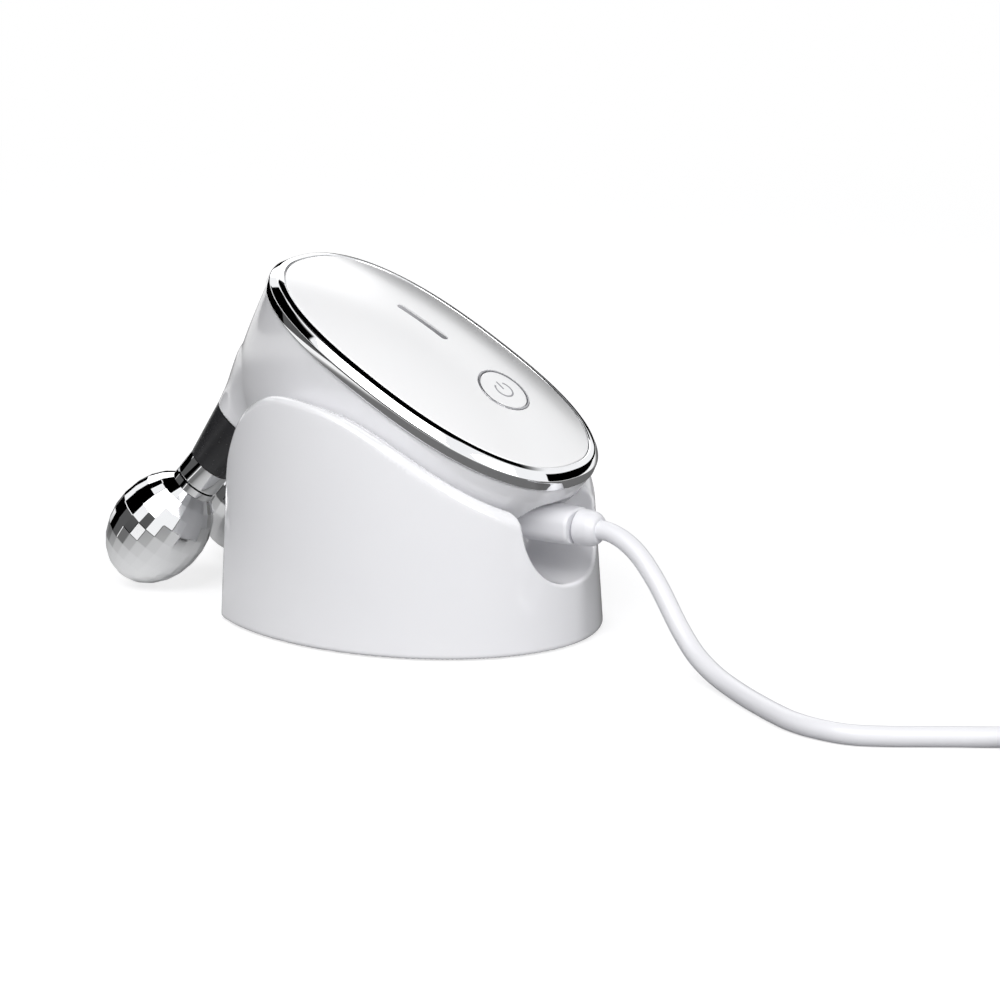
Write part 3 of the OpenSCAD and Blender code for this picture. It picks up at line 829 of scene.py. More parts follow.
def guide_normals(mesh: Mesh, wanted: Array, limit: float) -> None:
    """Shades a mesh by given normals at its points, where they are near its faces' own.

    Args:
        mesh: the mesh.
        wanted: a unit normal for each vertex.
        limit: the most degrees that one may lean from its face, past which the face's own is used.
    """
    mesh.shade_smooth()
    lead = wanted[read(mesh.loops, "vertex_index", 1, np.int32)[:, 0]]
    sizes = read(mesh.polygons, "loop_total", 1, np.int32)[:, 0]
    own = np.repeat(read(mesh.polygons, "normal", 3), sizes, axis=0)
    keep = (own * lead).sum(1) > math.cos(math.radians(limit))
    mesh.normals_split_custom_set(np.where(keep[:, None], lead, own).astype(np.float32).tolist())


def seen_from(frame: Matrix, points: Array) -> Array:
    """Points of the holder's frame in another frame."""
    back = np.array(frame.inverted())
    return points @ back[:3, :3].T + back[:3, 3]


def tipped(degrees: float, axis: str) -> Matrix:
    """A turn about an axis."""
    return Matrix.Rotation(math.radians(degrees), 4, axis)


def raised(lift: Array) -> Array:
    """Heights as vectors."""
    return np.stack([0 * lift, 0 * lift, lift], 1)


def drawn_in(wide: float, narrow: float, v: float | Array, curve: Pair) -> float | Array:
    """A half size that runs from wide at the top to narrow at the bottom, by a curve's two exponents."""
    return narrow + (wide - narrow) * (1 - v ** curve[0]) ** curve[1]


# ---------------------------------------------------------------- the device's shape


@dataclass(frozen=True)
class Shape:
    """Sizes and surfaces that several sub-assemblies share, in millimetres."""

    half_len: float = 40.0
    half_w: float = 23.4
    power: float = 2.4
    crown: float = 5.5
    tilt: float = 28.2
    height: float = 58.7
    ahead: float = 8.95
    ring_gap: float = 0.12
    ring_w: float = 3.0
    ring_drop: float = 4.0
    ring_rise: float = 0.15
    depth: float = 34.1
    tuck_len: float = 0.3
    tuck_w: float = 0.6
    belly_half_w: float = 10.0
    belly_tail: float = 9.2
    belly_head: float = 27.0
    side_curve: Pair = (2.2, 0.6)
    tail_curve: Pair = (1.6, 0.55)
    head_curve: Pair = (8, 0.5)
    belly_round: float = 2.5
    arm_back: float = 33.4
    arm_out: float = 7.76
    arm_down: float = 39.2
    splay: float = 14.5
    rake: float = 8.3
    leg_r: float = 7.4
    leg_len: float = 15.0
    leg_flare: float = 0.2273
    leg_edge: float = 0.35
    leg_crown: float = 3.0
    collar_gap: float = 0.02
    collar_room_r: float = 8.3
    travel: float = 60.0

    @property
    def on_cover(self) -> Matrix:
        """The frame of the cover's edge, with Z out of the cover."""
        return Matrix.Translation((self.ahead, 0, self.height)) @ tipped(self.tilt, "Y")

    def on_arm(self, side: Side) -> Matrix:
        """The frame of an arm's collar seat, with Z up the arm."""
        seat = Matrix.Translation((-self.arm_back, side.value * self.arm_out, -self.arm_down))
        return self.on_cover @ seat @ (tipped(self.rake, "Y") @ tipped(side.value * self.splay, "X"))

    def crown_over(self, x: Array, y: Array) -> Array:
        """Height of the cover over points of its plan, round in the middle and full at the edge.

        Args:
            x: places along the cover.
            y: places across the cover.

        Returns:
            The heights.
        """
        x, y = x / self.half_len, y / self.half_w
        full, plain = oval(x, y, self.power) ** 2, x**2 + y**2
        return self.crown * (1 - plain * (1 - full) - full * full)

    def crown_normals(self, x: Array, y: Array) -> Array:
        """Unit normals of the cover, in its own frame.

        Args:
            x: places along the cover.
            y: places across the cover.

        Returns:
            One normal to a row.
        """
        h = 0.02
        dx = (self.crown_over(x + h, y) - self.crown_over(x - h, y)) / (2 * h)
        dy = (self.crown_over(x, y + h) - self.crown_over(x, y - h)) / (2 * h)
        out = np.stack([-dx, -dy, np.ones_like(dx)], 1)
        return out / np.linalg.norm(out, axis=1, keepdims=True)

    def edge_ring(self, grow: float, n: float, steps: int) -> Array:
        """A ring round the cover's edge, so far out from it and so high."""
        return superellipse(self.half_len + grow, self.half_w + grow, n, self.power, steps)

    def body_ring(self, v: float | Array, grow: float = 0.0) -> tuple:
        """Half length, half width and middle of the body's section at a share of its depth.

        Args:
            v: the share of its depth, 0 at the top.
            grow: how far the form stands out over its own size.

        Returns:
            The three, as numbers or as arrays, as the share is.
        """
        half_len = self.half_len + self.ring_gap + self.ring_w - self.tuck_len
        half_w = self.half_w + self.ring_gap + self.ring_w - self.tuck_w
        tail = drawn_in(half_len, self.belly_tail, v, self.tail_curve)
        head = -drawn_in(half_len, self.belly_head, v, self.head_curve)
        half = drawn_in(half_w, self.belly_half_w, v, self.side_curve)
        return (tail - head) / 2 + grow, half + grow, (tail + head) / 2

    def body_loft(self, grow: float, levels: int, steps: int) -> BMesh:
        """A coarse solid of the body, in the holder's frame.

        Args:
            grow: how far the form stands out over its own size.
            levels: number of rings.
            steps: points of each ring.

        Returns:
            The closed bmesh.
        """
        rings = []
        for j in range(levels, -1, -1):
            v = math.sin(math.pi / 2 * j / levels)
            a, b, mid = self.body_ring(v, grow)
            n = -self.ring_drop - (self.depth + grow) * v
            rings.append(superellipse(a, b, n, self.power, steps, mid))
        bm = loft(rings)
        bm.transform(self.on_cover)
        return bm

    def body_raw(self, points: Array, grow: float) -> Array:
        """A field that is zero on the body's sides, for points in the cover's frame.

        Args:
            points: places in the cover's frame, one to a row.
            grow: how far the form stands out over its own size.

        Returns:
            The field, below 0 inside.
        """
        v = np.clip((-self.ring_drop - points[:, 2]) / (self.depth + grow), 0.0, 0.985)
        a, b, mid = self.body_ring(v, grow)
        return oval((points[:, 0] - mid) / a, points[:, 1] / b, self.power) - 1

    def belly(self, local: Array, grow: float) -> Array:
        """Distance down to the body's flat bottom, for points in the cover's frame."""
        return -self.ring_drop - self.depth - grow - local[:, 2]

    def body(self, points: Array, grow: float) -> Array:
        """Distance to the body, endless at its top, for points in the holder's frame.

        Args:
            points: places in the holder's frame, one to a row.
            grow: how far the form stands out over its own size.

        Returns:
            The distance of each place in millimetres, negative inside.
        """
        local = seen_from(self.on_cover, points)
        sides = levelled(lambda q: self.body_raw(q, grow), local)
        return round_cut(sides, self.belly(local, grow), self.belly_round)

    def lift_of(self, points: Array, grow: float) -> Array:
        """How far the body is raised when it comes closest to each point on its way out of the holder.

        Args:
            points: places in the holder's frame, one to a row.
            grow: how far the form stands out over its own size.

        Returns:
            The lift for each place.
        """
        low, high = np.zeros(len(points)), np.full(len(points), self.travel)
        for _ in range(16):
            first, second = low + (high - low) / 3, high - (high - low) / 3
            values = []
            for lift in (first, second):
                local = seen_from(self.on_cover, points - raised(lift))
                values.append(np.maximum(self.body_raw(local, grow), self.belly(local, grow) / 20))
            nearer = values[0] <= values[1]
            high = np.where(nearer, second, high)
            low = np.where(nearer, low, first)
        return (low + high) / 2

    def leg(self, points: Array, side: Side) -> Array:
        """Distance to a leg of the shell, for points in the holder's frame.

        Args:
            points: places in the holder's frame, one to a row.
            side: which arm.

        Returns:
            The distance of each place in millimetres, negative inside.
        """
        local = seen_from(self.on_arm(side), points)
        away = np.hypot(local[:, 0], local[:, 1])
        cone = (away - self.leg_r - self.leg_flare * local[:, 2]) / math.hypot(1, self.leg_flare)
        foot = round_cut(cone, -local[:, 2], self.leg_edge)
        return round_cut(foot, local[:, 2] - self.leg_len, self.leg_crown)

    def collar_room(self, points: Array, side: Side) -> Array:
        """Distance to the room under a leg that its collar takes.

        Args:
            points: places in the holder's frame, one to a row.
            side: which arm.

        Returns:
            The distance of each place in millimetres, negative inside.
        """
        local = seen_from(self.on_arm(side), points)
        away = np.hypot(local[:, 0], local[:, 1])
        return np.maximum(away - self.collar_room_r, local[:, 2] + self.collar_gap)


# ---------------------------------------------------------------- sub-assemblies


@dataclass
class Holder:
    """The drafted oval holder with its sloping rim, its cradle and the notch for the lead."""

    shape: Shape
    half_len: float = 47.2
    half_w: float = 36.9
    front: float = 31.9
    draft: float = 0.07
    wall: float = 2.6
    foot: float = 0.4
    recess_top: float = 2.45
    rim_peak: float = 54.3
    rim_mid: float = 58.9
    rim_fall: float = 0.70
    rim_blend: float = 4.0
    rim_lean: float = 0.36
    rim_front: float = 25.0
    rim_round: float = 2.0
    foot_round: float = 0.9
    lip_round: float = 0.8
    corner_round: float = 3.0
    shoulder: float = -8.0
    shoulder_over: float = 0.6
    cradle_gap: float = 0.8
    notch_half_w: float = 13.8
    notch_floor: float = 13.9
    notch_top: float = 31.0
    notch_end: float = 26.0
    notch_power: float = 2.6
    notch_round: float = 1.2
    recess_round: float = 0.3
    recess_edge: float = 0.25
    outside: Pair = (70.0, 80.0)
    voxels: Pair = (0.62, 1.1)

    @property
    def reach(self) -> float:
        """How far the shoulder runs to the front."""
        return self.front + self.shoulder + self.shoulder_over

    @property
    def rise(self) -> float:
        """How high the shoulder stands over the front."""
        return self.rim_peak - self.rim_front

    def half_sizes(self, z: float | Array, inset: float = 0.0) -> tuple:
        """Half length and half width of the drafted oval at a height."""
        return self.half_len - self.draft * z - inset, self.half_w - self.draft * z - inset

    def side(self, points: Array) -> Array:
        """Distance to the drafted oval wall with its flat front.

        Args:
            points: places in the holder's frame, one to a row.

        Returns:
            The distance of each place in millimetres, negative inside.
        """

        def wall(q: Array) -> Array:
            """The drafted ellipse."""
            a, b = self.half_sizes(q[:, 2])
            return np.hypot(q[:, 0] / a, q[:, 1] / b) - 1

        return round_cut(levelled(wall, points), -self.front - points[:, 0], self.corner_round)

    def rim(self, points: Array) -> Array:
        """Distance to the rim: a fall to the tail, a round shoulder at the front and a lean inwards.

        Args:
            points: places in the holder's frame, one to a row.

        Returns:
            The distance of each place in millimetres, negative inside.
        """

        def edge(q: Array) -> Array:
            """The crest with its shoulder, blended into the fall.

            Args:
                q: places in the holder's frame, one to a row.

            Returns:
                A field that is 0 on the rim.
            """
            z = q[:, 2] - self.rim_lean * np.minimum(self.side(q), 0)
            run = np.minimum(q[:, 0] - self.shoulder, 0) / self.reach
            crest = (np.hypot(run, np.maximum(z - self.rim_front, 0) / self.rise) - 1) * self.rise
            fall = z - self.rim_mid + self.rim_fall * q[:, 0]
            return self.rim_blend * np.logaddexp(crest / self.rim_blend, fall / self.rim_blend)

        return levelled(edge, points)

    def notch(self, points: Array) -> Array:
        """Distance to the notch for the lead.

        Args:
            points: places in the holder's frame, one to a row.

        Returns:
            The distance of each place in millimetres, negative inside.
        """

        def section(q: Array) -> Array:
            """Its outline, seen along the lead."""
            drop = np.maximum(self.notch_top - q[:, 2], 0) / (self.notch_top - self.notch_floor)
            return oval(q[:, 1] / self.notch_half_w, drop, self.notch_power) - 1

        return round_cut(levelled(section, points), self.notch_end - points[:, 0], self.notch_round)

    def near(self, points: Array) -> Field:
        """The holder's field close to given points.

        Args:
            points: places in the holder's frame, one to a row.

        Returns:
            The field.
        """
        lift = raised(self.shape.lift_of(points, self.cradle_gap))

        def field(q: Array) -> Array:
            """Distance to the holder.

            Args:
                q: places in the holder's frame, one to a row.

            Returns:
                The distance of each place in millimetres, negative inside.
            """
            side = self.side(q)
            solid = round_cut(side, self.rim(q), self.rim_round)
            solid = round_cut(solid, self.foot - q[:, 2], self.foot_round)
            solid = round_cut(solid, -self.shape.body(q - lift, self.cradle_gap), self.lip_round)
            solid = round_cut(solid, -self.notch(q), self.lip_round)
            recess = round_cut(side + self.wall, q[:, 2] - self.recess_top, self.recess_round)
            return round_cut(solid, -recess, self.recess_edge)

        return field

    def outline(self, z: float, inset: float, steps: int) -> Array:
        """A ring of the wall at a height.

        Args:
            z: the height.
            inset: how far inside the wall.
            steps: number of points.

        Returns:
            The ring.
        """
        ring = superellipse(*self.half_sizes(z, inset), z, 2.0, steps)
        ring[:, 0] = np.maximum(ring[:, 0], inset - self.front)
        return ring

    def rim_height(self, x: Array) -> Array:
        """Height of the rim's outer edge over a place along the holder.

        Args:
            x: places along the holder.

        Returns:
            The heights.
        """
        run = np.clip((x - self.shoulder) / self.reach, -1, 0)
        crest = self.rim_front + self.rise * np.sqrt(1 - run * run)
        fall = self.rim_mid - self.rim_fall * x
        return -self.rim_blend * np.logaddexp(-crest / self.rim_blend, -fall / self.rim_blend)

    def start(self, steps: int = 144) -> BMesh:
        """A coarse solid of the holder without its cradle.

        Args:
            steps: points of each ring.

        Returns:
            The closed bmesh.
        """
        top = self.rim_height(self.outline(40.0, 0.0, steps)[:, 0])
        plan = self.outline(0.0, 0.0, steps)
        rings = [self.outline(self.foot, 0.0, steps)]
        for share in (0.33, 0.66, 1.0):
            z = self.foot + (top - self.foot) * share
            halves = ((0, self.half_len), (1, self.half_w))
            x, y = (plan[:, k] * (1 - self.draft * z / half) for k, half in halves)
            rings.append(np.stack([np.maximum(x, -self.front), y, z], 1))
        edge = rings[-1]
        for share in (0.85, 0.7, 0.45, 0.2):
            x, y = edge[:, 0] * share, edge[:, 1] * share
            inset = (1 - share) * np.hypot(edge[:, 0], edge[:, 1])
            rings.append(np.stack([x, y, self.rim_height(x) - self.rim_lean * inset], 1))
        return loft(rings)

    def bowl(self) -> BMesh:
        """The room that the device takes and is lifted out by.

        Returns:
            The closed bmesh.
        """
        bm = self.shape.body_loft(self.cradle_gap, 12, 72)
        twin = bmesh.ops.duplicate(bm, geom=bm.verts[:])["geom"]
        bmesh.ops.translate(bm, vec=(0, 0, self.shape.travel), verts=verts_in(twin))
        hull = bmesh.new()
        for vert in bm.verts:
            hull.verts.new(vert.co)
        bm.free()
        bmesh.ops.convex_hull(hull, input=hull.verts)
        return hull

    def channel(self) -> BMesh:
        """The solid that cuts the notch.

        Returns:
            The closed bmesh.
        """
        far, high = self.outside
        t = np.linspace(0, math.pi / 2, 17)
        y = self.notch_half_w * np.sin(t) ** (2 / self.notch_power)
        z = self.notch_top - (self.notch_top - self.notch_floor) * np.cos(t) ** (2 / self.notch_power)
        y = np.concatenate([y, [y[-1]], [-y[-1]], -y[:0:-1]])
        z = np.concatenate([z, [high], [high], z[:0:-1]])
        return loft([np.stack([np.full(len(y), x), y, z], 1) for x in (self.notch_end, far)])

    def build(self, palette: Palette) -> None:
        """Builds and dresses the holder.

        Args:
            palette: every finish.
        """
        under = loft([self.outline(z, self.wall, 96) for z in (-3.0, self.recess_top)])
        mesh = shaped(self.start(), cuts=[self.bowl(), self.channel(), under], voxel=self.voxels[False])
        settle(mesh, self.near)
        palette.place("holder", mesh, Body.HOLDER, "gloss_white", "holder_shell", "cradle_tray")


@dataclass
class DeviceShell:
    """The white lower shell with its two legs and the recess for the plug."""

    shape: Shape
    socket_face: float = 27.5
    pocket_half_w: float = 8.6
    pocket_roof: float = 31.3
    pocket_round: float = 3.2
    pocket_corner: float = 1.4
    pocket_edge: float = 0.5
    slot_half_w: float = 3.85
    slot_half_h: float = 1.5
    slot_end: float = 21.65
    plug_z: float = 26.3
    leg_blend: float = 2.5
    collar_edge: float = 0.25
    top_gap: float = 0.02
    top_edge: float = 0.2
    collar_room: float = 13.0
    voxels: Pair = (0.5, 0.9)

    def field(self, q: Array) -> Array:
        """Distance to the shell.

        Args:
            q: places in the holder's frame, one to a row.

        Returns:
            The distance of each place in millimetres, negative inside.
        """
        shape = self.shape
        solid = shape.body(q, 0.0)
        for side in Side:
            solid = round_join(solid, shape.leg(q, side), self.leg_blend)
        for side in Side:
            solid = round_cut(solid, -shape.collar_room(q, side), self.collar_edge)
        top = seen_from(shape.on_cover, q)[:, 2] + shape.ring_drop + self.top_gap
        solid = round_cut(solid, top, self.top_edge)
        aside = np.abs(q[:, 1])
        pocket = round_cut(self.socket_face - q[:, 0], aside - self.pocket_half_w, self.pocket_corner)
        pocket = round_cut(pocket, q[:, 2] - self.pocket_roof, self.pocket_round)
        above = np.abs(q[:, 2] - self.plug_z) - self.slot_half_h
        slot = np.maximum(np.maximum(aside - self.slot_half_w, above), self.slot_end - q[:, 0])
        return np.maximum(round_cut(solid, -pocket, self.pocket_edge), -slot)

    def build(self, palette: Palette) -> None:
        """Builds and dresses the shell.

        Args:
            palette: every finish.
        """
        shape = self.shape
        legs, rooms = [], []
        for side in Side:
            top_r, room_r = shape.leg_r + shape.leg_flare * shape.leg_len, shape.collar_room_r
            legs.append(turned([(0, 0), (shape.leg_r, 0), (top_r, shape.leg_len), (0, shape.leg_len)], 48))
            low, high = -self.collar_room, -shape.collar_gap
            rooms.append(turned([(0, low), (room_r, low), (room_r, high), (0, high)], 48))
            for solid in (legs[-1], rooms[-1]):
                solid.transform(shape.on_arm(side))
        wide, narrow, z, high = self.pocket_half_w, self.slot_half_w, self.plug_z, self.slot_half_h
        pocket = block((self.socket_face, -wide, -5), (70, wide, self.pocket_roof))
        slot = block((self.slot_end, -narrow, z - high), (30, narrow, z + high))
        mesh = shaped(shape.body_loft(0.0, 16, 96), legs, [*rooms, pocket, slot], self.voxels[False])
        settle(mesh, lambda points: self.field)
        # The shell's finish carries painted shade: a greyer copy of the holder's white.
        palette.place("device_shell", mesh, Body.DEVICE, "shell_white_painted_shade", "lower_shell")


@dataclass
class Cover:
    """The domed cover with its chromed ring, its light strip and its power button."""

    shape: Shape
    skirt: float = 3.4
    button_along: float = 18.1
    button_r: float = 5.7
    button_gap: float = 0.15
    button_rise: float = 0.1
    button_dish: float = 0.08
    bezel_w: float = 0.45
    bezel_rise: float = 0.16
    hole_play: float = 0.05
    hole_edge: float = 0.12
    hole_top: float = 9.0
    glyph_r: float = 2.15
    glyph_half: float = 0.2
    glyph_open: float = 38.0
    glyph_top: float = 0.065
    glyph_thick: float = 0.06
    bar: tuple[float, float, int] = (-2.5, 0.6, 4)
    light_along: float = -6.9
    light_len: float = 14.4
    light_w: float = 2.0
    around: int = 288

    def stadium(self, grow: float, z: float, steps: int = 20) -> Array:
        """The light strip's outline in the plan of the cover, at a height.

        Args:
            grow: how far it stands outside the strip.
            z: the height.
            steps: segments of each round end.

        Returns:
            The ring.
        """
        r, half = self.light_w / 2 + grow, self.light_len / 2 - self.light_w / 2
        points = []
        for middle, start in ((half, -math.pi / 2), (-half, math.pi / 2)):
            for k in range(steps + 1):
                a = start + math.pi * k / steps
                points.append((self.light_along + middle + r * math.cos(a), r * math.sin(a), z))
        return np.array(points)

    def dome(self) -> BMesh:
        """The closed dome, without its holes.

        Returns:
            The closed bmesh.
        """
        shape = self.shape
        skirt = ((0, -self.skirt), (0, -0.45), (-0.03, -0.2), (-0.12, -0.02))
        rings = [shape.edge_ring(d, n, self.around) for d, n in skirt]
        for share in [0.992, 0.98, *np.linspace(0.96, 0.02, 40)]:
            ring = superellipse(shape.half_len * share, shape.half_w * share, 0, shape.power, self.around)
            ring[:, 2] = shape.crown_over(ring[:, 0], ring[:, 1])
            rings.append(ring)
        return loft(rings)

    def crown_at(self, place: Vector) -> float:
        """Height of the cover over one place of its plan."""
        return float(self.shape.crown_over(np.array(place.x), np.array(place.y)))

    def on_rim(self, edge: BMEdge) -> bool:
        """Whether an edge lies on the rim of a hole in the crown.

        Args:
            edge: the edge.

        Returns:
            True if it does.
        """
        middle = (edge.verts[0].co + edge.verts[1].co) / 2
        sharp = len(edge.link_faces) == 2 and edge.calc_face_angle(0) > 0.9
        return middle.z > 3 and sharp and abs(middle.z - self.crown_at(middle)) < 0.2

    def build_dome(self, palette: Palette) -> None:
        """Builds the cover, with a clean edge round each hole.

        Args:
            palette: every finish.
        """
        shape = self.shape
        top, floor = self.hole_top, 1.5
        slot = loft([self.stadium(self.hole_play, z) for z in (2.6, top)])
        hole_r = self.button_r + self.button_gap + self.bezel_w + self.hole_play
        hole = turned([(0, floor), (hole_r, floor), (hole_r, top), (0, top)], 120)
        bmesh.ops.translate(hole, vec=(self.button_along, 0, 0), verts=hole.verts)
        mesh = shaped(self.dome(), cuts=[slot, hole])
        bm = bmesh.new()
        bm.from_mesh(mesh)
        bmesh.ops.remove_doubles(bm, verts=bm.verts, dist=1e-4)
        bevel(bm, [edge for edge in bm.edges if self.on_rim(edge)], self.hole_edge, 2, clamp=True)
        bm.to_mesh(mesh)
        bm.free()
        points = points_of(mesh)
        wanted = shape.crown_normals(points[:, 0], points[:, 1])
        mesh.transform(shape.on_cover)
        mesh.update()
        guide_normals(mesh, wanted @ np.array(shape.on_cover)[:3, :3].T, 16.0)
        palette.place("cover_dome", mesh, Body.DEVICE, "cover_white", "top_cover")

    def build_ring(self, palette: Palette) -> None:
        """Builds the chromed ring round the cover.

        Args:
            palette: every finish.
        """
        shape = self.shape
        gap, wide, drop, rise = shape.ring_gap, shape.ring_w, shape.ring_drop, shape.ring_rise
        corners = [(gap, -drop), (gap + wide - 0.02, -drop), (gap + wide - 0.14, -1.75), (1.6, -0.2),
                   (0.42, rise), (gap, rise - 0.22), (gap, -2.0)]
        profile = eased(corners, (0, 0.3, 0.35, 0.35, 0.12, 0.1, 0), 4)
        ring = loft([shape.edge_ring(d, n, self.around) for d, n in profile], loop=True)
        mesh = smooth(ring, shape.on_cover, 50)
        palette.place("trim_ring_bright", mesh, Body.DEVICE, "chrome", "trim_ring")

    def on_crown(self, bm: BMesh, along: float = 0.0, angle: float = 40.0) -> Mesh:
        """Lays a bmesh, built on a flat cover, over its crown, and makes it a mesh.

        Args:
            bm: the bmesh, which is freed.
            along: how far it is moved along the cover first.
            angle: edges sharper than this stay sharp, in degrees.

        Returns:
            The mesh.
        """
        bmesh.ops.translate(bm, vec=(along, 0, 0), verts=bm.verts)
        for vert in bm.verts:
            vert.co.z += self.crown_at(vert.co)
        return smooth(bm, self.shape.on_cover, angle)

    def dish(self, place: Vector) -> float:
        """How far the button's face lies below its edge, at a place seen from its middle."""
        return self.button_dish * (1 - (place.xy.length / self.button_r) ** 2)

    def build_button(self, palette: Palette) -> None:
        """Builds the button and its thin ring.

        Args:
            palette: every finish.
        """
        inner, rise, top = self.button_r + self.button_gap, self.bezel_rise, self.button_rise
        outer = inner + self.bezel_w
        profile = eased([(inner, -1.4), (outer, -1.4), (outer, rise), (inner, rise)], (0, 0, 0.14, 0))
        ring = self.on_crown(turned([*profile, (inner, rise)], 120), self.button_along)
        palette.place("button_ring", ring, Body.DEVICE, "silver", "button_bezel")
        face = [(self.button_r * share, top) for share in (1, 0.66, 0.33, 0)]
        cap = turned(eased([(0, -1.2), (self.button_r, -1.2), *face], (0, 0, 0.3, 0, 0, 0)), 120)
        for vert in cap.verts:
            if vert.co.z > 0:
                vert.co.z -= max(0.0, self.dish(vert.co))
        mesh = self.on_crown(cap, self.button_along)
        palette.place("button_cap", mesh, Body.BUTTON, "cover_white", "power_button")

    def build_glyph(self, palette: Palette) -> None:
        """Builds the power symbol, a broken ring and a bar, as a thin inlay in the button.

        Args:
            palette: every finish.
        """
        half, open_by = self.glyph_half, math.radians(self.glyph_open)
        start = Vector((math.cos(math.pi + open_by), math.sin(math.pi + open_by), 0))
        bm = bmesh.new()
        ends = [bm.verts.new(start * r) for r in (self.glyph_r - half, self.glyph_r + half)]
        bmesh.ops.spin(bm, geom=[*ends, bm.edges.new(ends)], angle=FULL - 2 * open_by, steps=48, **ABOUT_Z)
        start, step, count = self.bar
        line = bm.edges.new([bm.verts.new((start, y, 0.0)) for y in (-half, half)])
        for _ in range(count):
            grown = bmesh.ops.extrude_edge_only(bm, edges=[line])["geom"]
            ends = verts_in(grown)
            bmesh.ops.translate(bm, vec=(step, 0, 0), verts=ends)
            line = next(g for g in grown if isinstance(g, BMEdge) and set(g.verts) <= set(ends))
        thickened(bm, self.glyph_thick)
        low = min(v.co.z for v in bm.verts)
        for vert in bm.verts:
            vert.co.z += self.glyph_top - low - self.dish(vert.co)
        mesh = self.on_crown(bm, self.button_along, 30)
        palette.place("power_symbol", mesh, Body.BUTTON, "glyph_grey")

    def build_lens(self, palette: Palette) -> None:
        """Builds the light strip in its slot.

        Args:
            palette: every finish.
        """
        levels = ((0.0, -1.0), (0.0, -0.32), (-0.06, -0.25), (-0.2, -0.22), (-0.5, -0.2), (-0.9, -0.19))
        mesh = self.on_crown(loft([self.stadium(grow, z) for grow, z in levels]), angle=30)
        palette.place("light_strip", mesh, Body.DEVICE, "lens", "light_lens")

    def build(self, palette: Palette) -> None:
        """Builds and dresses everything on the cover."""
        for part in (self.build_dome, self.build_ring, self.build_button, self.build_glyph, self.build_lens):
            part(palette)


@dataclass
class Arms:
    """The dark collars, chromed necks and faceted roller balls."""

    shape: Shape
    collar_len: float = 13.0
    collar_top_r: float = 7.4
    seat: float = 0.05
    neck_r: float = 5.15
    neck_len: float = 5.1
    bore_r: float = 2.05
    hub_r: float = 2.4
    hub_len: float = 4.0
    hub_edge: float = 0.3
    ball_r: float = 11.18
    ball_half_len: float = 14.38
    facets_round: int = 28
    facet_rows: int = 13
    gap: float = 0.3
    bevel: float = 0.1

    def build_arm(self, side: Side, palette: Palette) -> None:
        """Builds one arm and its ball.

        Args:
            side: which arm.
            palette: every finish.
        """
        place, word, bore, r = self.shape.on_arm(side), side.word, self.bore_r, self.neck_r
        base, low, half = -self.collar_len, -self.collar_len - self.neck_len, self.ball_half_len
        profile = [(bore, -self.seat), (bore, base), (r + 0.02, base), (self.collar_top_r, -self.seat)]
        collar = smooth(turned(eased(profile, (0, 0, 0.35, 0)), 128), place)
        palette.place(f"collar_{word}_dark", collar, Body.DEVICE, "collar_black", f"collar_{word}")
        profile = [(bore, base), (bore, low), (r, low), (r, base)]
        neck = smooth(turned(eased(profile, (0, 0, 0.3, 0))), place)
        palette.place(f"neck_{word}_bright", neck, Body.DEVICE, "chrome", f"neck_{word}")
        centre = place @ Matrix.Translation((0, 0, low - self.gap - half))
        ball = bmesh.new()
        bmesh.ops.create_uvsphere(ball, u_segments=self.facets_round, v_segments=self.facet_rows, radius=1.0)
        bmesh.ops.scale(ball, vec=(self.ball_r, self.ball_r, half), verts=ball.verts)
        bevel(ball, ball.edges[:], self.bevel, 1)
        palette.place(f"ball_{word}_faceted", smooth(ball, centre, 0), side.roller, "chrome", f"ball_{word}")
        profile = [(self.hub_r, half), (self.hub_r, half - self.hub_len), (r, half - self.hub_len), (r, half)]
        hub = smooth(turned([*profile, (r - self.hub_edge, half)]), centre)
        palette.place(f"hub_{word}", hub, side.roller, "chrome")

    def build(self, palette: Palette) -> None:
        """Builds and dresses both arms."""
        for side in Side:
            self.build_arm(side, palette)


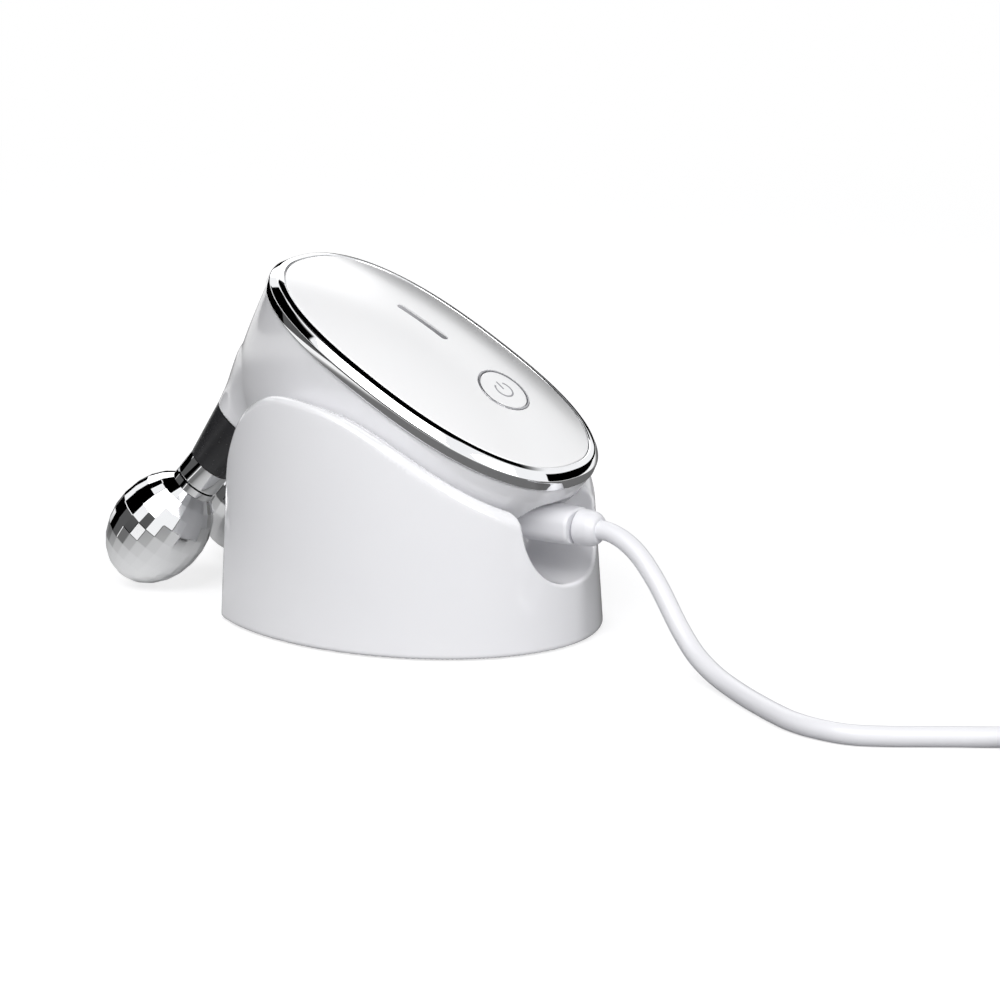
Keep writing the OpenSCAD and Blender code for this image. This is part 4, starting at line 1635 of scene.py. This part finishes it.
@dataclass
class Lead:
    """The charging lead: its plug, its cable with the stored coil, and the plug at its far end."""

    plug_z: float = 26.3
    plug_x: float = 27.8
    grip_half_w: float = 5.7
    grip_half_h: float = 4.1
    grip_power: float = 2.7
    groove: tuple[float, float, float] = (45.3, 45.7, 46.4)
    pad_from: float = 33.2
    pad_sweep: float = 3.4
    pad_slope: float = 0.8
    pad_rise: float = 0.35
    relief_x: float = 47.0
    relief_len: float = 5.0
    cable_d: float = 4.2
    cable_from: float = 52.0
    length: float = 0.85
    coil_x: float = 192.6
    coil_y: float = -17.2
    coil_r: float = 21.97
    coil_top: float = 7.98
    tie_half: float = 2.5
    tie_thick: float = 0.55
    usb_half: Pair = (7.5, 4.0)
    usb_power: float = 4.5
    tip_half: Pair = (3.3, 0.9)
    route: tuple[Triple, ...] = (
        (53.4, 0, 26.3), (56.5, -0.3, 25.7), (59.8, -0.8, 24.4), (63, -1.5, 22.5), (66, -2.4, 20.1),
        (69, -3.4, 17.3), (71.7, -4.4, 14.4), (74.6, -5.6, 11.3), (77.8, -7, 8.4), (81.3, -8.6, 5.9),
        (85.2, -10.4, 4.1), (89.6, -12.6, 2.9), (94.5, -15.4, 2.33), (99.6, -18.6, 2.13),
        (104.8, -21.8, 2.11), (110.4, -25, 2.1), (116.4, -27.8, 2.1), (122.8, -29, 2.1),
        (129.2, -28.6, 2.1), (135.2, -25.8, 2.1),
        (141, -22, 2.1), (146.8, -18.1, 2.1), (152.6, -14.4, 2.1), (158.9, -10, 2.1), (164.9, -5.6, 2.1),
        (170.9, -1.2, 2.1))

    @property
    def layers(self) -> Pair:
        """Heights of the cable's middle in the coil's lower and upper turns."""
        return self.cable_d / 2, self.cable_d / 2 + self.cable_d * math.sqrt(3) / 2

    def coil_points(self, steps: int = 24, shift: int = 5) -> list[Triple]:
        """The turns of the stored coil: three below and two on them.

        Args:
            steps: points of each turn.
            shift: how many of them lead over to the next turn.

        Returns:
            The knots of the coil.
        """
        low, high = self.layers
        start = math.radians(126.0)
        radii = [self.coil_r + share * self.cable_d for share in (1, 0, -1, -0.5, 0.5)]
        points = []
        for turn, radius in enumerate(radii):
            last = turn == len(radii) - 1
            for k in range(steps - shift if last else steps):
                a = start - FULL * k / steps
                left = steps - k
                r, z = radius, low if turn < 3 else high
                if left <= shift and not last:
                    t = 1 - left / (shift + 0.5)
                    ease = t * t * (3 - 2 * t)
                    r += (radii[turn + 1] - radius) * ease
                    if turn == 2:
                        z += (high - low) * ease
                    if turn == 3:
                        z += 0.75 * math.sin(math.pi * t)
                points.append((self.coil_x + r * math.cos(a), self.coil_y + r * math.sin(a), z))
        return points

    def usb_rear(self) -> Vector:
        """The middle of the far plug's rear face."""
        return Vector((self.coil_x - 10.6, self.coil_y + 19, self.coil_top + 4))

    def line(self) -> list[Triple]:
        """The cable's centreline, from the plug to the far plug.

        Returns:
            The knots of the curve.
        """
        rear = self.usb_rear()
        steps = ((16.6, 9.5, 7.4), (11, 4.2, 9.4), (5.6, 1.1, 11.3))
        rise = [(rear.x - back, rear.y - aside, z) for back, aside, z in steps]
        return [(self.cable_from, 0.0, self.plug_z), *self.route, *self.coil_points(), *rise, tuple(rear)]

    def build_cable(self, palette: Palette) -> Object:
        """Builds the cable as a round curve.

        Args:
            palette: every finish.

        Returns:
            The piece.
        """
        curve = bpy.data.curves.new("cable_flex", "CURVE")
        curve.dimensions = "3D"
        curve.bevel_depth = self.cable_d / 2 * MM
        curve.bevel_resolution = curve.resolution_u = 8
        curve.use_fill_caps = True
        knots = curve.splines.new("BEZIER").bezier_points
        points = self.line()
        knots.add(len(points) - 1)
        for knot, point in zip(knots, points):
            knot.co = Vector(point) * MM
            knot.handle_left_type = knot.handle_right_type = "AUTO"
        curve.materials.append(palette.made["cable_white"])
        obj = bpy.data.objects.new("cable_flex", curve)
        bpy.context.scene.collection.objects.link(obj)
        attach(obj, Body.LEAD.value)
        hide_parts("cable", "cable_coil")
        return obj

    def on_pads(self, x: float | Array, angles: Array) -> Array:
        """How far the grip has come onto its thumb pads, from 0 to 1, at places along and round it."""
        edge = self.pad_from + self.pad_sweep * np.abs(np.sin(angles)) ** 3
        return np.clip((x - edge) / self.pad_slope, 0, 1)

    def build_grip(self, palette: Palette, steps: int = 160) -> Object:
        """Builds the plug's grip with its raised thumb pads, the groove behind them and painted shade on the
        sunk zone in front of the pads.

        Args:
            palette: every finish.
            steps: points of each ring.

        Returns:
            The piece.
        """
        groove, round_end, end = self.groove
        stations = [27.8, 27.85, 27.95, 28.15, 28.5, *np.arange(29.0, 45.3, 0.2), groove, 45.5, 45.7,
                    45.9, 46.1, 46.25, 46.35, end]
        angles = np.linspace(0, FULL, steps, endpoint=False)
        rings = []
        for x in stations:
            nose = 0.55 * (1 - math.sqrt(max(0.0, 1 - max(0.0, (28.5 - x) / 0.7) ** 2)))
            taper = 0.5 * max(0.0, (x - 33) / 13) ** 1.6
            tail = 0.35 * max(0.0, (x - round_end) / 0.7) ** 2
            a, b = self.grip_half_w - nose - taper - tail, self.grip_half_h - nose - 0.5 * taper - tail
            ring = superellipse(a, b, 0, self.grip_power, steps)
            if x < groove:
                off = 1 - self.on_pads(x, angles)
                sunk = self.pad_rise * off * off * (3 - 2 * off)
                ring *= (1 - sunk / np.linalg.norm(ring, axis=1))[:, None]
            rings.append(across(x, ring, (0, self.plug_z)))
        mesh = smooth(loft(rings))
        points = points_of(mesh)
        angles = np.arctan2((points[:, 2] - self.plug_z) / self.grip_half_h, points[:, 1] / self.grip_half_w)
        # Painted shade: the sunk zone in front of the pads is marked to take the darker colour, standing in
        # for the shadow under the device's ring.
        tone = 1 - self.on_pads(points[:, 0], angles)
        mesh.attributes.new("tone", "FLOAT", "POINT").data.foreach_set("value", tone.astype(np.float32))
        return palette.place("plug_grip_soft", mesh, Body.LEAD, "cable_white", "plug_grip")

    def build_relief(self, palette: Palette) -> Object:
        """Builds the collar behind the grip and the short boot round the cable.

        Args:
            palette: every finish.

        Returns:
            The piece.
        """
        r, end = self.cable_d / 2 - 0.05, self.relief_len
        points = [(r, -0.6), (3.0, -0.6), (3.0, 0.0), (4.1, 0.0), (3.75, end - 1.2), (2.75, end), (r, end)]
        along = Matrix.Translation((self.relief_x, 0, self.plug_z)) @ tipped(90, "Y")
        mesh = smooth(turned(eased(points, (0, 0, 0, 0.5, 0.9, 0.4, 0))), along, 35)
        return palette.place("plug_collar", mesh, Body.LEAD, "cable_white", "plug_relief")

    def build_tie(self, palette: Palette) -> Object:
        """Builds the strap round the coil.

        Args:
            palette: every finish.

        Returns:
            The piece.
        """
        (low, high), d = self.layers, self.cable_d
        grow, turns = d / 2 + 0.12, 8
        path = []
        bends = ((-d, low, 180, 270), (d, low, 270, 380), (d / 2, high, 20, 90), (-d / 2, high, 90, 160))
        for y, z, start, end in bends:
            for k in range(turns + 1):
                a = math.radians(start + (end - start) * k / turns)
                path.append((-self.tie_half, y + grow * math.cos(a), max(z + grow * math.sin(a), 0.02)))
        bm = bmesh.new()
        verts = [bm.verts.new(point) for point in path]
        edges = [bm.edges.new(pair) for pair in zip(verts, verts[1:] + verts[:1])]
        grown = bmesh.ops.extrude_edge_only(bm, edges=edges)["geom"]
        bmesh.ops.translate(bm, vec=(2 * self.tie_half, 0, 0), verts=verts_in(grown))
        bmesh.ops.remove_doubles(bm, verts=bm.verts, dist=1e-3)
        thickened(bm, -self.tie_thick)
        for vert in bm.verts:
            vert.co.z = max(vert.co.z, 0.0)
        mesh = smooth(bm, Matrix.Translation((self.coil_x, self.coil_y - self.coil_r, 0)))
        return palette.place("coil_strap", mesh, Body.LEAD, "tie_black", "coil_tie")

    def build_usb(self, palette: Palette) -> list[Object]:
        """Builds the far plug: its grip, its metal shell and its tongue.

        Args:
            palette: every finish.

        Returns:
            The three pieces.
        """
        rear = self.usb_rear()

        def box(x: Pair, y: Pair, z: Pair, edge: float = 0.0) -> BMesh:
            """A box by its ends along each axis, seen from the plug's rear face."""
            low, high = (rear + Vector(ends) for ends in zip(x, y, z))
            return block(low, high, edge)

        stations = ((0, 1.6), (0.15, 0.9), (0.6, 0.35), (1.4, 0), (10, 0), (18.6, 0), (19.4, 0.15),
                    (19.85, 0.5), (20, 0.9))
        a, b = self.usb_half
        rings = []
        for x, inset in stations:
            ring = superellipse(a - inset, b - inset, 0, self.usb_power, 96)
            rings.append(across(rear.x + x, ring, rear.yz))
        mesh = smooth(loft(rings), None, 45)
        grip = palette.place("far_plug_grip", mesh, Body.LEAD, "cable_white", "usb_grip")
        hollow = box((19, 40), (-5.6, 5.6), (-1.85, 1.85))
        slots = [box((24, 26.2), (y - 1.1, y + 1.1), (0, 5)) for y in (-2.9, 2.9)]
        shell = shaped(box((20, 32), (-6, 6), (-2.25, 2.25)), cuts=[hollow, *slots])
        shell.set_sharp_from_angle(angle=0.5)
        metal = palette.place("far_plug_shell", shell, Body.LEAD, "steel", "usb_shell")
        edge = metal.modifiers.new("edge", "BEVEL")
        edge.width, edge.segments, edge.limit_method = 0.12 * MM, 2, "ANGLE"
        tongue = smooth(box((20, 31), (-5.5, 5.5), (-1.8, 0), 0.15))
        return [grip, metal, palette.place("far_plug_tongue", tongue, Body.LEAD, "cable_white", "usb_insert")]

    def build_tip(self, palette: Palette) -> Object:
        """Builds the metal tongue that enters the socket.

        Args:
            palette: every finish.

        Returns:
            The piece.
        """
        x, z, (wide, high) = self.plug_x, self.plug_z, self.tip_half
        mesh = smooth(block((x - 5.4, -wide, z - high), (x + 1.5, wide, z + high), 0.3, 3))
        return palette.place("plug_tongue", mesh, Body.LEAD, "steel", "plug_tip")

    def build(self, palette: Palette) -> None:
        """Args:
            palette: every finish.
        """
        cable = self.build_cable(palette)
        parts = (self.build_grip, self.build_relief, self.build_tip, self.build_tie)
        others = [part(palette) for part in parts]
        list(self.build_usb(palette))


# ---------------------------------------------------------------- the stage


@dataclass(frozen=True)
class Flag:
    """A dark card in the surround that only gloss and metal mirror.

    heading and spread are degrees round Z from +X; low, high and soft are heights as sines;
    level is what is left of the white.
    """

    heading: float
    spread: float
    low: float
    high: float
    soft: float
    level: float


@dataclass(frozen=True)
class Lamp:
    """A soft square lamp aimed at the device, with its strength as a share of full white."""

    name: str
    place: Triple
    size: float
    share: float

    def build(self, aim: Vector) -> None:
        """Hangs the lamp.

        Args:
            aim: the place that it shines at.
        """
        place = Vector(self.place)
        data = bpy.data.lights.new(self.name, "AREA")
        data.shape, data.size = "SQUARE", self.size
        data.energy = self.share * (math.pi * (place - aim).length) ** 2
        aimed(self.name, data, place, aim - place)


def aimed(name: str, data: bpy.types.ID, place: Vector, ahead: Vector) -> Object:
    """Puts a lamp or a camera in the scene, looking ahead.

    Args:
        name: the object's name.
        data: the lamp or the camera.
        place: where it stands.
        ahead: the direction it looks in.

    Returns:
        The object.
    """
    obj = bpy.data.objects.new(name, data)
    obj.location = place
    obj.rotation_mode = "QUATERNION"
    obj.rotation_quaternion = ahead.to_track_quat("-Z", "Y")
    bpy.context.scene.collection.objects.link(obj)
    return obj


@dataclass
class Studio:
    """The camera, the pale floor, the white surround and the soft lamps."""

    eye: Triple = (0.4338, -0.5873, 0.2045)
    azimuth: float = 36.45
    elevation: float = 13.44
    centre_px: Pair = (404.4, 480.2)
    focal_px: float = 3378.1
    picture_px: float = 1000.0
    sensor: float = 36.0
    ambient: float = 0.3
    tint: Triple = (0.985, 0.99, 1.0)
    floor_r: float = 3.0
    floor_fade: Pair = (0.35, 0.8)
    floor_albedo: float = 0.4
    floor_lift: float = 0.72
    mirrored_from: Triple = (-0.058, -0.016, 0.0)
    mirrored_far: float = 0.11
    mirrored_near: float = 0.8
    mirrored_off: float = 0.17
    aim: Triple = (0.0, 0.0, 0.03)
    flags: tuple[Flag, ...] = (
        Flag(110, 88, -0.05, 0.3, 0.008, 0.0),
        Flag(95, 60, 0.72, 1.1, 0.06, 0.0),
        Flag(0, 180, 0.94, 1.1, 0.006, 0.0),
        Flag(246, 24, 0.04, 0.18, 0.008, 0.0),
        Flag(238, 42, -0.4, 0.36, 0.01, 0.1),
        Flag(203, 34, 0.46, 0.88, 0.01, 0.0))
    lamps: tuple[Lamp, ...] = (
        Lamp("lamp_key", (0.12, -0.92, 1.1), 0.9, 0.6),
        Lamp("lamp_right", (1.05, -0.5, 0.62), 0.6, 0.42),
        Lamp("lamp_back", (-0.75, 0.75, 0.75), 0.8, 0.12))

    def build_camera(self) -> None:
        """Places the camera and aims it at the middle of the picture."""
        a, e = math.radians(self.azimuth), math.radians(self.elevation)
        ahead = Vector((-math.sin(a) * math.cos(e), math.cos(a) * math.cos(e), -math.sin(e)))
        right = Vector((math.cos(a), math.sin(a), 0))
        off_x, off_y = ((self.picture_px / 2 - px) / self.focal_px for px in self.centre_px)
        data = bpy.data.cameras.new("camera")
        data.sensor_width = self.sensor
        data.lens = self.sensor * self.focal_px / self.picture_px
        data.clip_start, data.clip_end = 0.01, 20.0
        aim = ahead + right * off_x - right.cross(ahead) * off_y
        bpy.context.scene.camera = aimed("camera", data, self.eye, aim)

    def build_floor(self) -> None:
        """Lays the pale floor, which keeps the object's shadow and runs out into the white of the surround.

        Gloss and metal see it in colours of its own, a painted reflection that is light round the near ball's
        foot and darker further out, and as light as the surround only far out.
        """
        bm = bmesh.new()
        bmesh.ops.create_circle(bm, cap_ends=True, segments=64, radius=self.floor_r)
        floor = scratch(bm, "floor")
        graph = Graph("floor_white")
        away = graph.ranged(graph.length(graph.coords), self.floor_fade, shape="SMOOTHSTEP")
        # Painted reflection: glossy rays see the floor light near the near ball's foot and dark further out.
        off = graph.ranged(graph.length(graph.coords, self.mirrored_from), (0.0, self.mirrored_far))
        mirrored = graph.blend(off, (self.mirrored_near,) * 3, (self.mirrored_off,) * 3)
        rays = graph.add("LightPath").outputs
        own = (self.floor_albedo, self.floor_albedo, self.floor_albedo * 1.015)
        color = graph.blend(away, graph.blend(rays["Is Glossy Ray"], own, mirrored), (0.0, 0.0, 0.0))
        levels = []
        for ray, near in (("Camera", self.floor_lift), ("Glossy", 0.0), ("Transmission", 0.0)):
            level = graph.ranged(away, target=(near, 1.0))
            levels.append(graph.calc("MULTIPLY", level, rays[f"Is {ray} Ray"]))
        most = graph.calc("MAXIMUM", graph.calc("MAXIMUM", levels[0], levels[1]), levels[2])
        glow = {"Specular IOR Level": 0.0, "Emission Color": (1, 1, 1, 1), "Emission Strength": most}
        floor.data.materials.append(graph.dress(color, 0.8, glow))
        floor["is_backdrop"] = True

    def mask(self, net: Net, ray: NodeSocket, flag: Flag) -> NodeSocket:
        """Adds the nodes that find a flag in the surround.

        Args:
            net: the world's node tree.
            ray: the direction looked in.
            flag: the flag.

        Returns:
            A socket that is 1 on the flag and 0 off it.
        """
        heading = math.radians(flag.heading)
        middle = (math.cos(heading), math.sin(heading), 0)
        toward = net.add("VectorMath", {0: ray, 1: middle}, operation="DOT_PRODUCT")
        level = net.add("VectorMath", {0: ray, 1: (1, 1, 0)}, operation="MULTIPLY").outputs["Vector"]
        share = net.calc("DIVIDE", toward.outputs["Value"], net.length(level))
        height = net.add("SeparateXYZ", {"Vector": ray}).outputs["Z"]
        side, soft = math.cos(math.radians(flag.spread)), flag.soft
        edges = ((share, side, soft), (height, flag.low, soft), (height, flag.high, -soft))
        ramps = [net.ranged(value, (at - off, at + off), shape="SMOOTHSTEP") for value, at, off in edges]
        return net.calc("MULTIPLY", net.calc("MULTIPLY", ramps[0], ramps[1]), ramps[2])

    def build_world(self) -> None:
        """Makes the white surround and its flags."""
        world = bpy.data.worlds.new("surround")
        bpy.context.scene.world = world
        world.use_nodes = True
        net = Net(world.node_tree)
        rays = net.add("LightPath").outputs
        ray = net.add("TexCoord").outputs["Generated"]
        white: object = 1.0
        for flag in self.flags:
            left = net.ranged(self.mask(net, ray, flag), target=(1.0, flag.level))
            white = net.calc("MULTIPLY", white, left)
        mirrored = net.ranged(rays["Is Glossy Ray"], target=(self.ambient, white))
        plain = net.calc("MAXIMUM", rays["Is Camera Ray"], rays["Is Transmission Ray"])
        strength = net.ranged(plain, target=(mirrored, 1.0))
        surround = net.add("Background", {"Color": (*self.tint, 1), "Strength": strength})
        net.add("OutputWorld", {"Surface": surround.outputs["Background"]})

    def build(self) -> None:
        """Sets the stage."""
        self.build_camera()
        self.build_floor()
        self.build_world()
        for lamp in self.lamps:
            lamp.build(Vector(self.aim))
        bpy.context.scene.view_settings.view_transform = "Standard"


def corners(pair: tuple[Vector, Vector]) -> list[list[float]]:
    """A box's two corners as plain lists."""
    return [[round(v, 6) for v in corner] for corner in pair]


def main() -> None:
    """Loads the frame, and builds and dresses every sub-assembly."""
    logging.basicConfig(level=logging.INFO, format="%(message)s")
    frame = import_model()
    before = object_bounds()
    palette = Palette()
    palette.dress_frame(frame)
    Studio().build()
    Lead().build(palette)
    shape = Shape()
    for part in (Holder, DeviceShell, Cover, Arms):
        part(shape).build(palette)
    {"cad": corners(before), "visual": corners(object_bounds())}


if __name__ == "__main__":
    main()
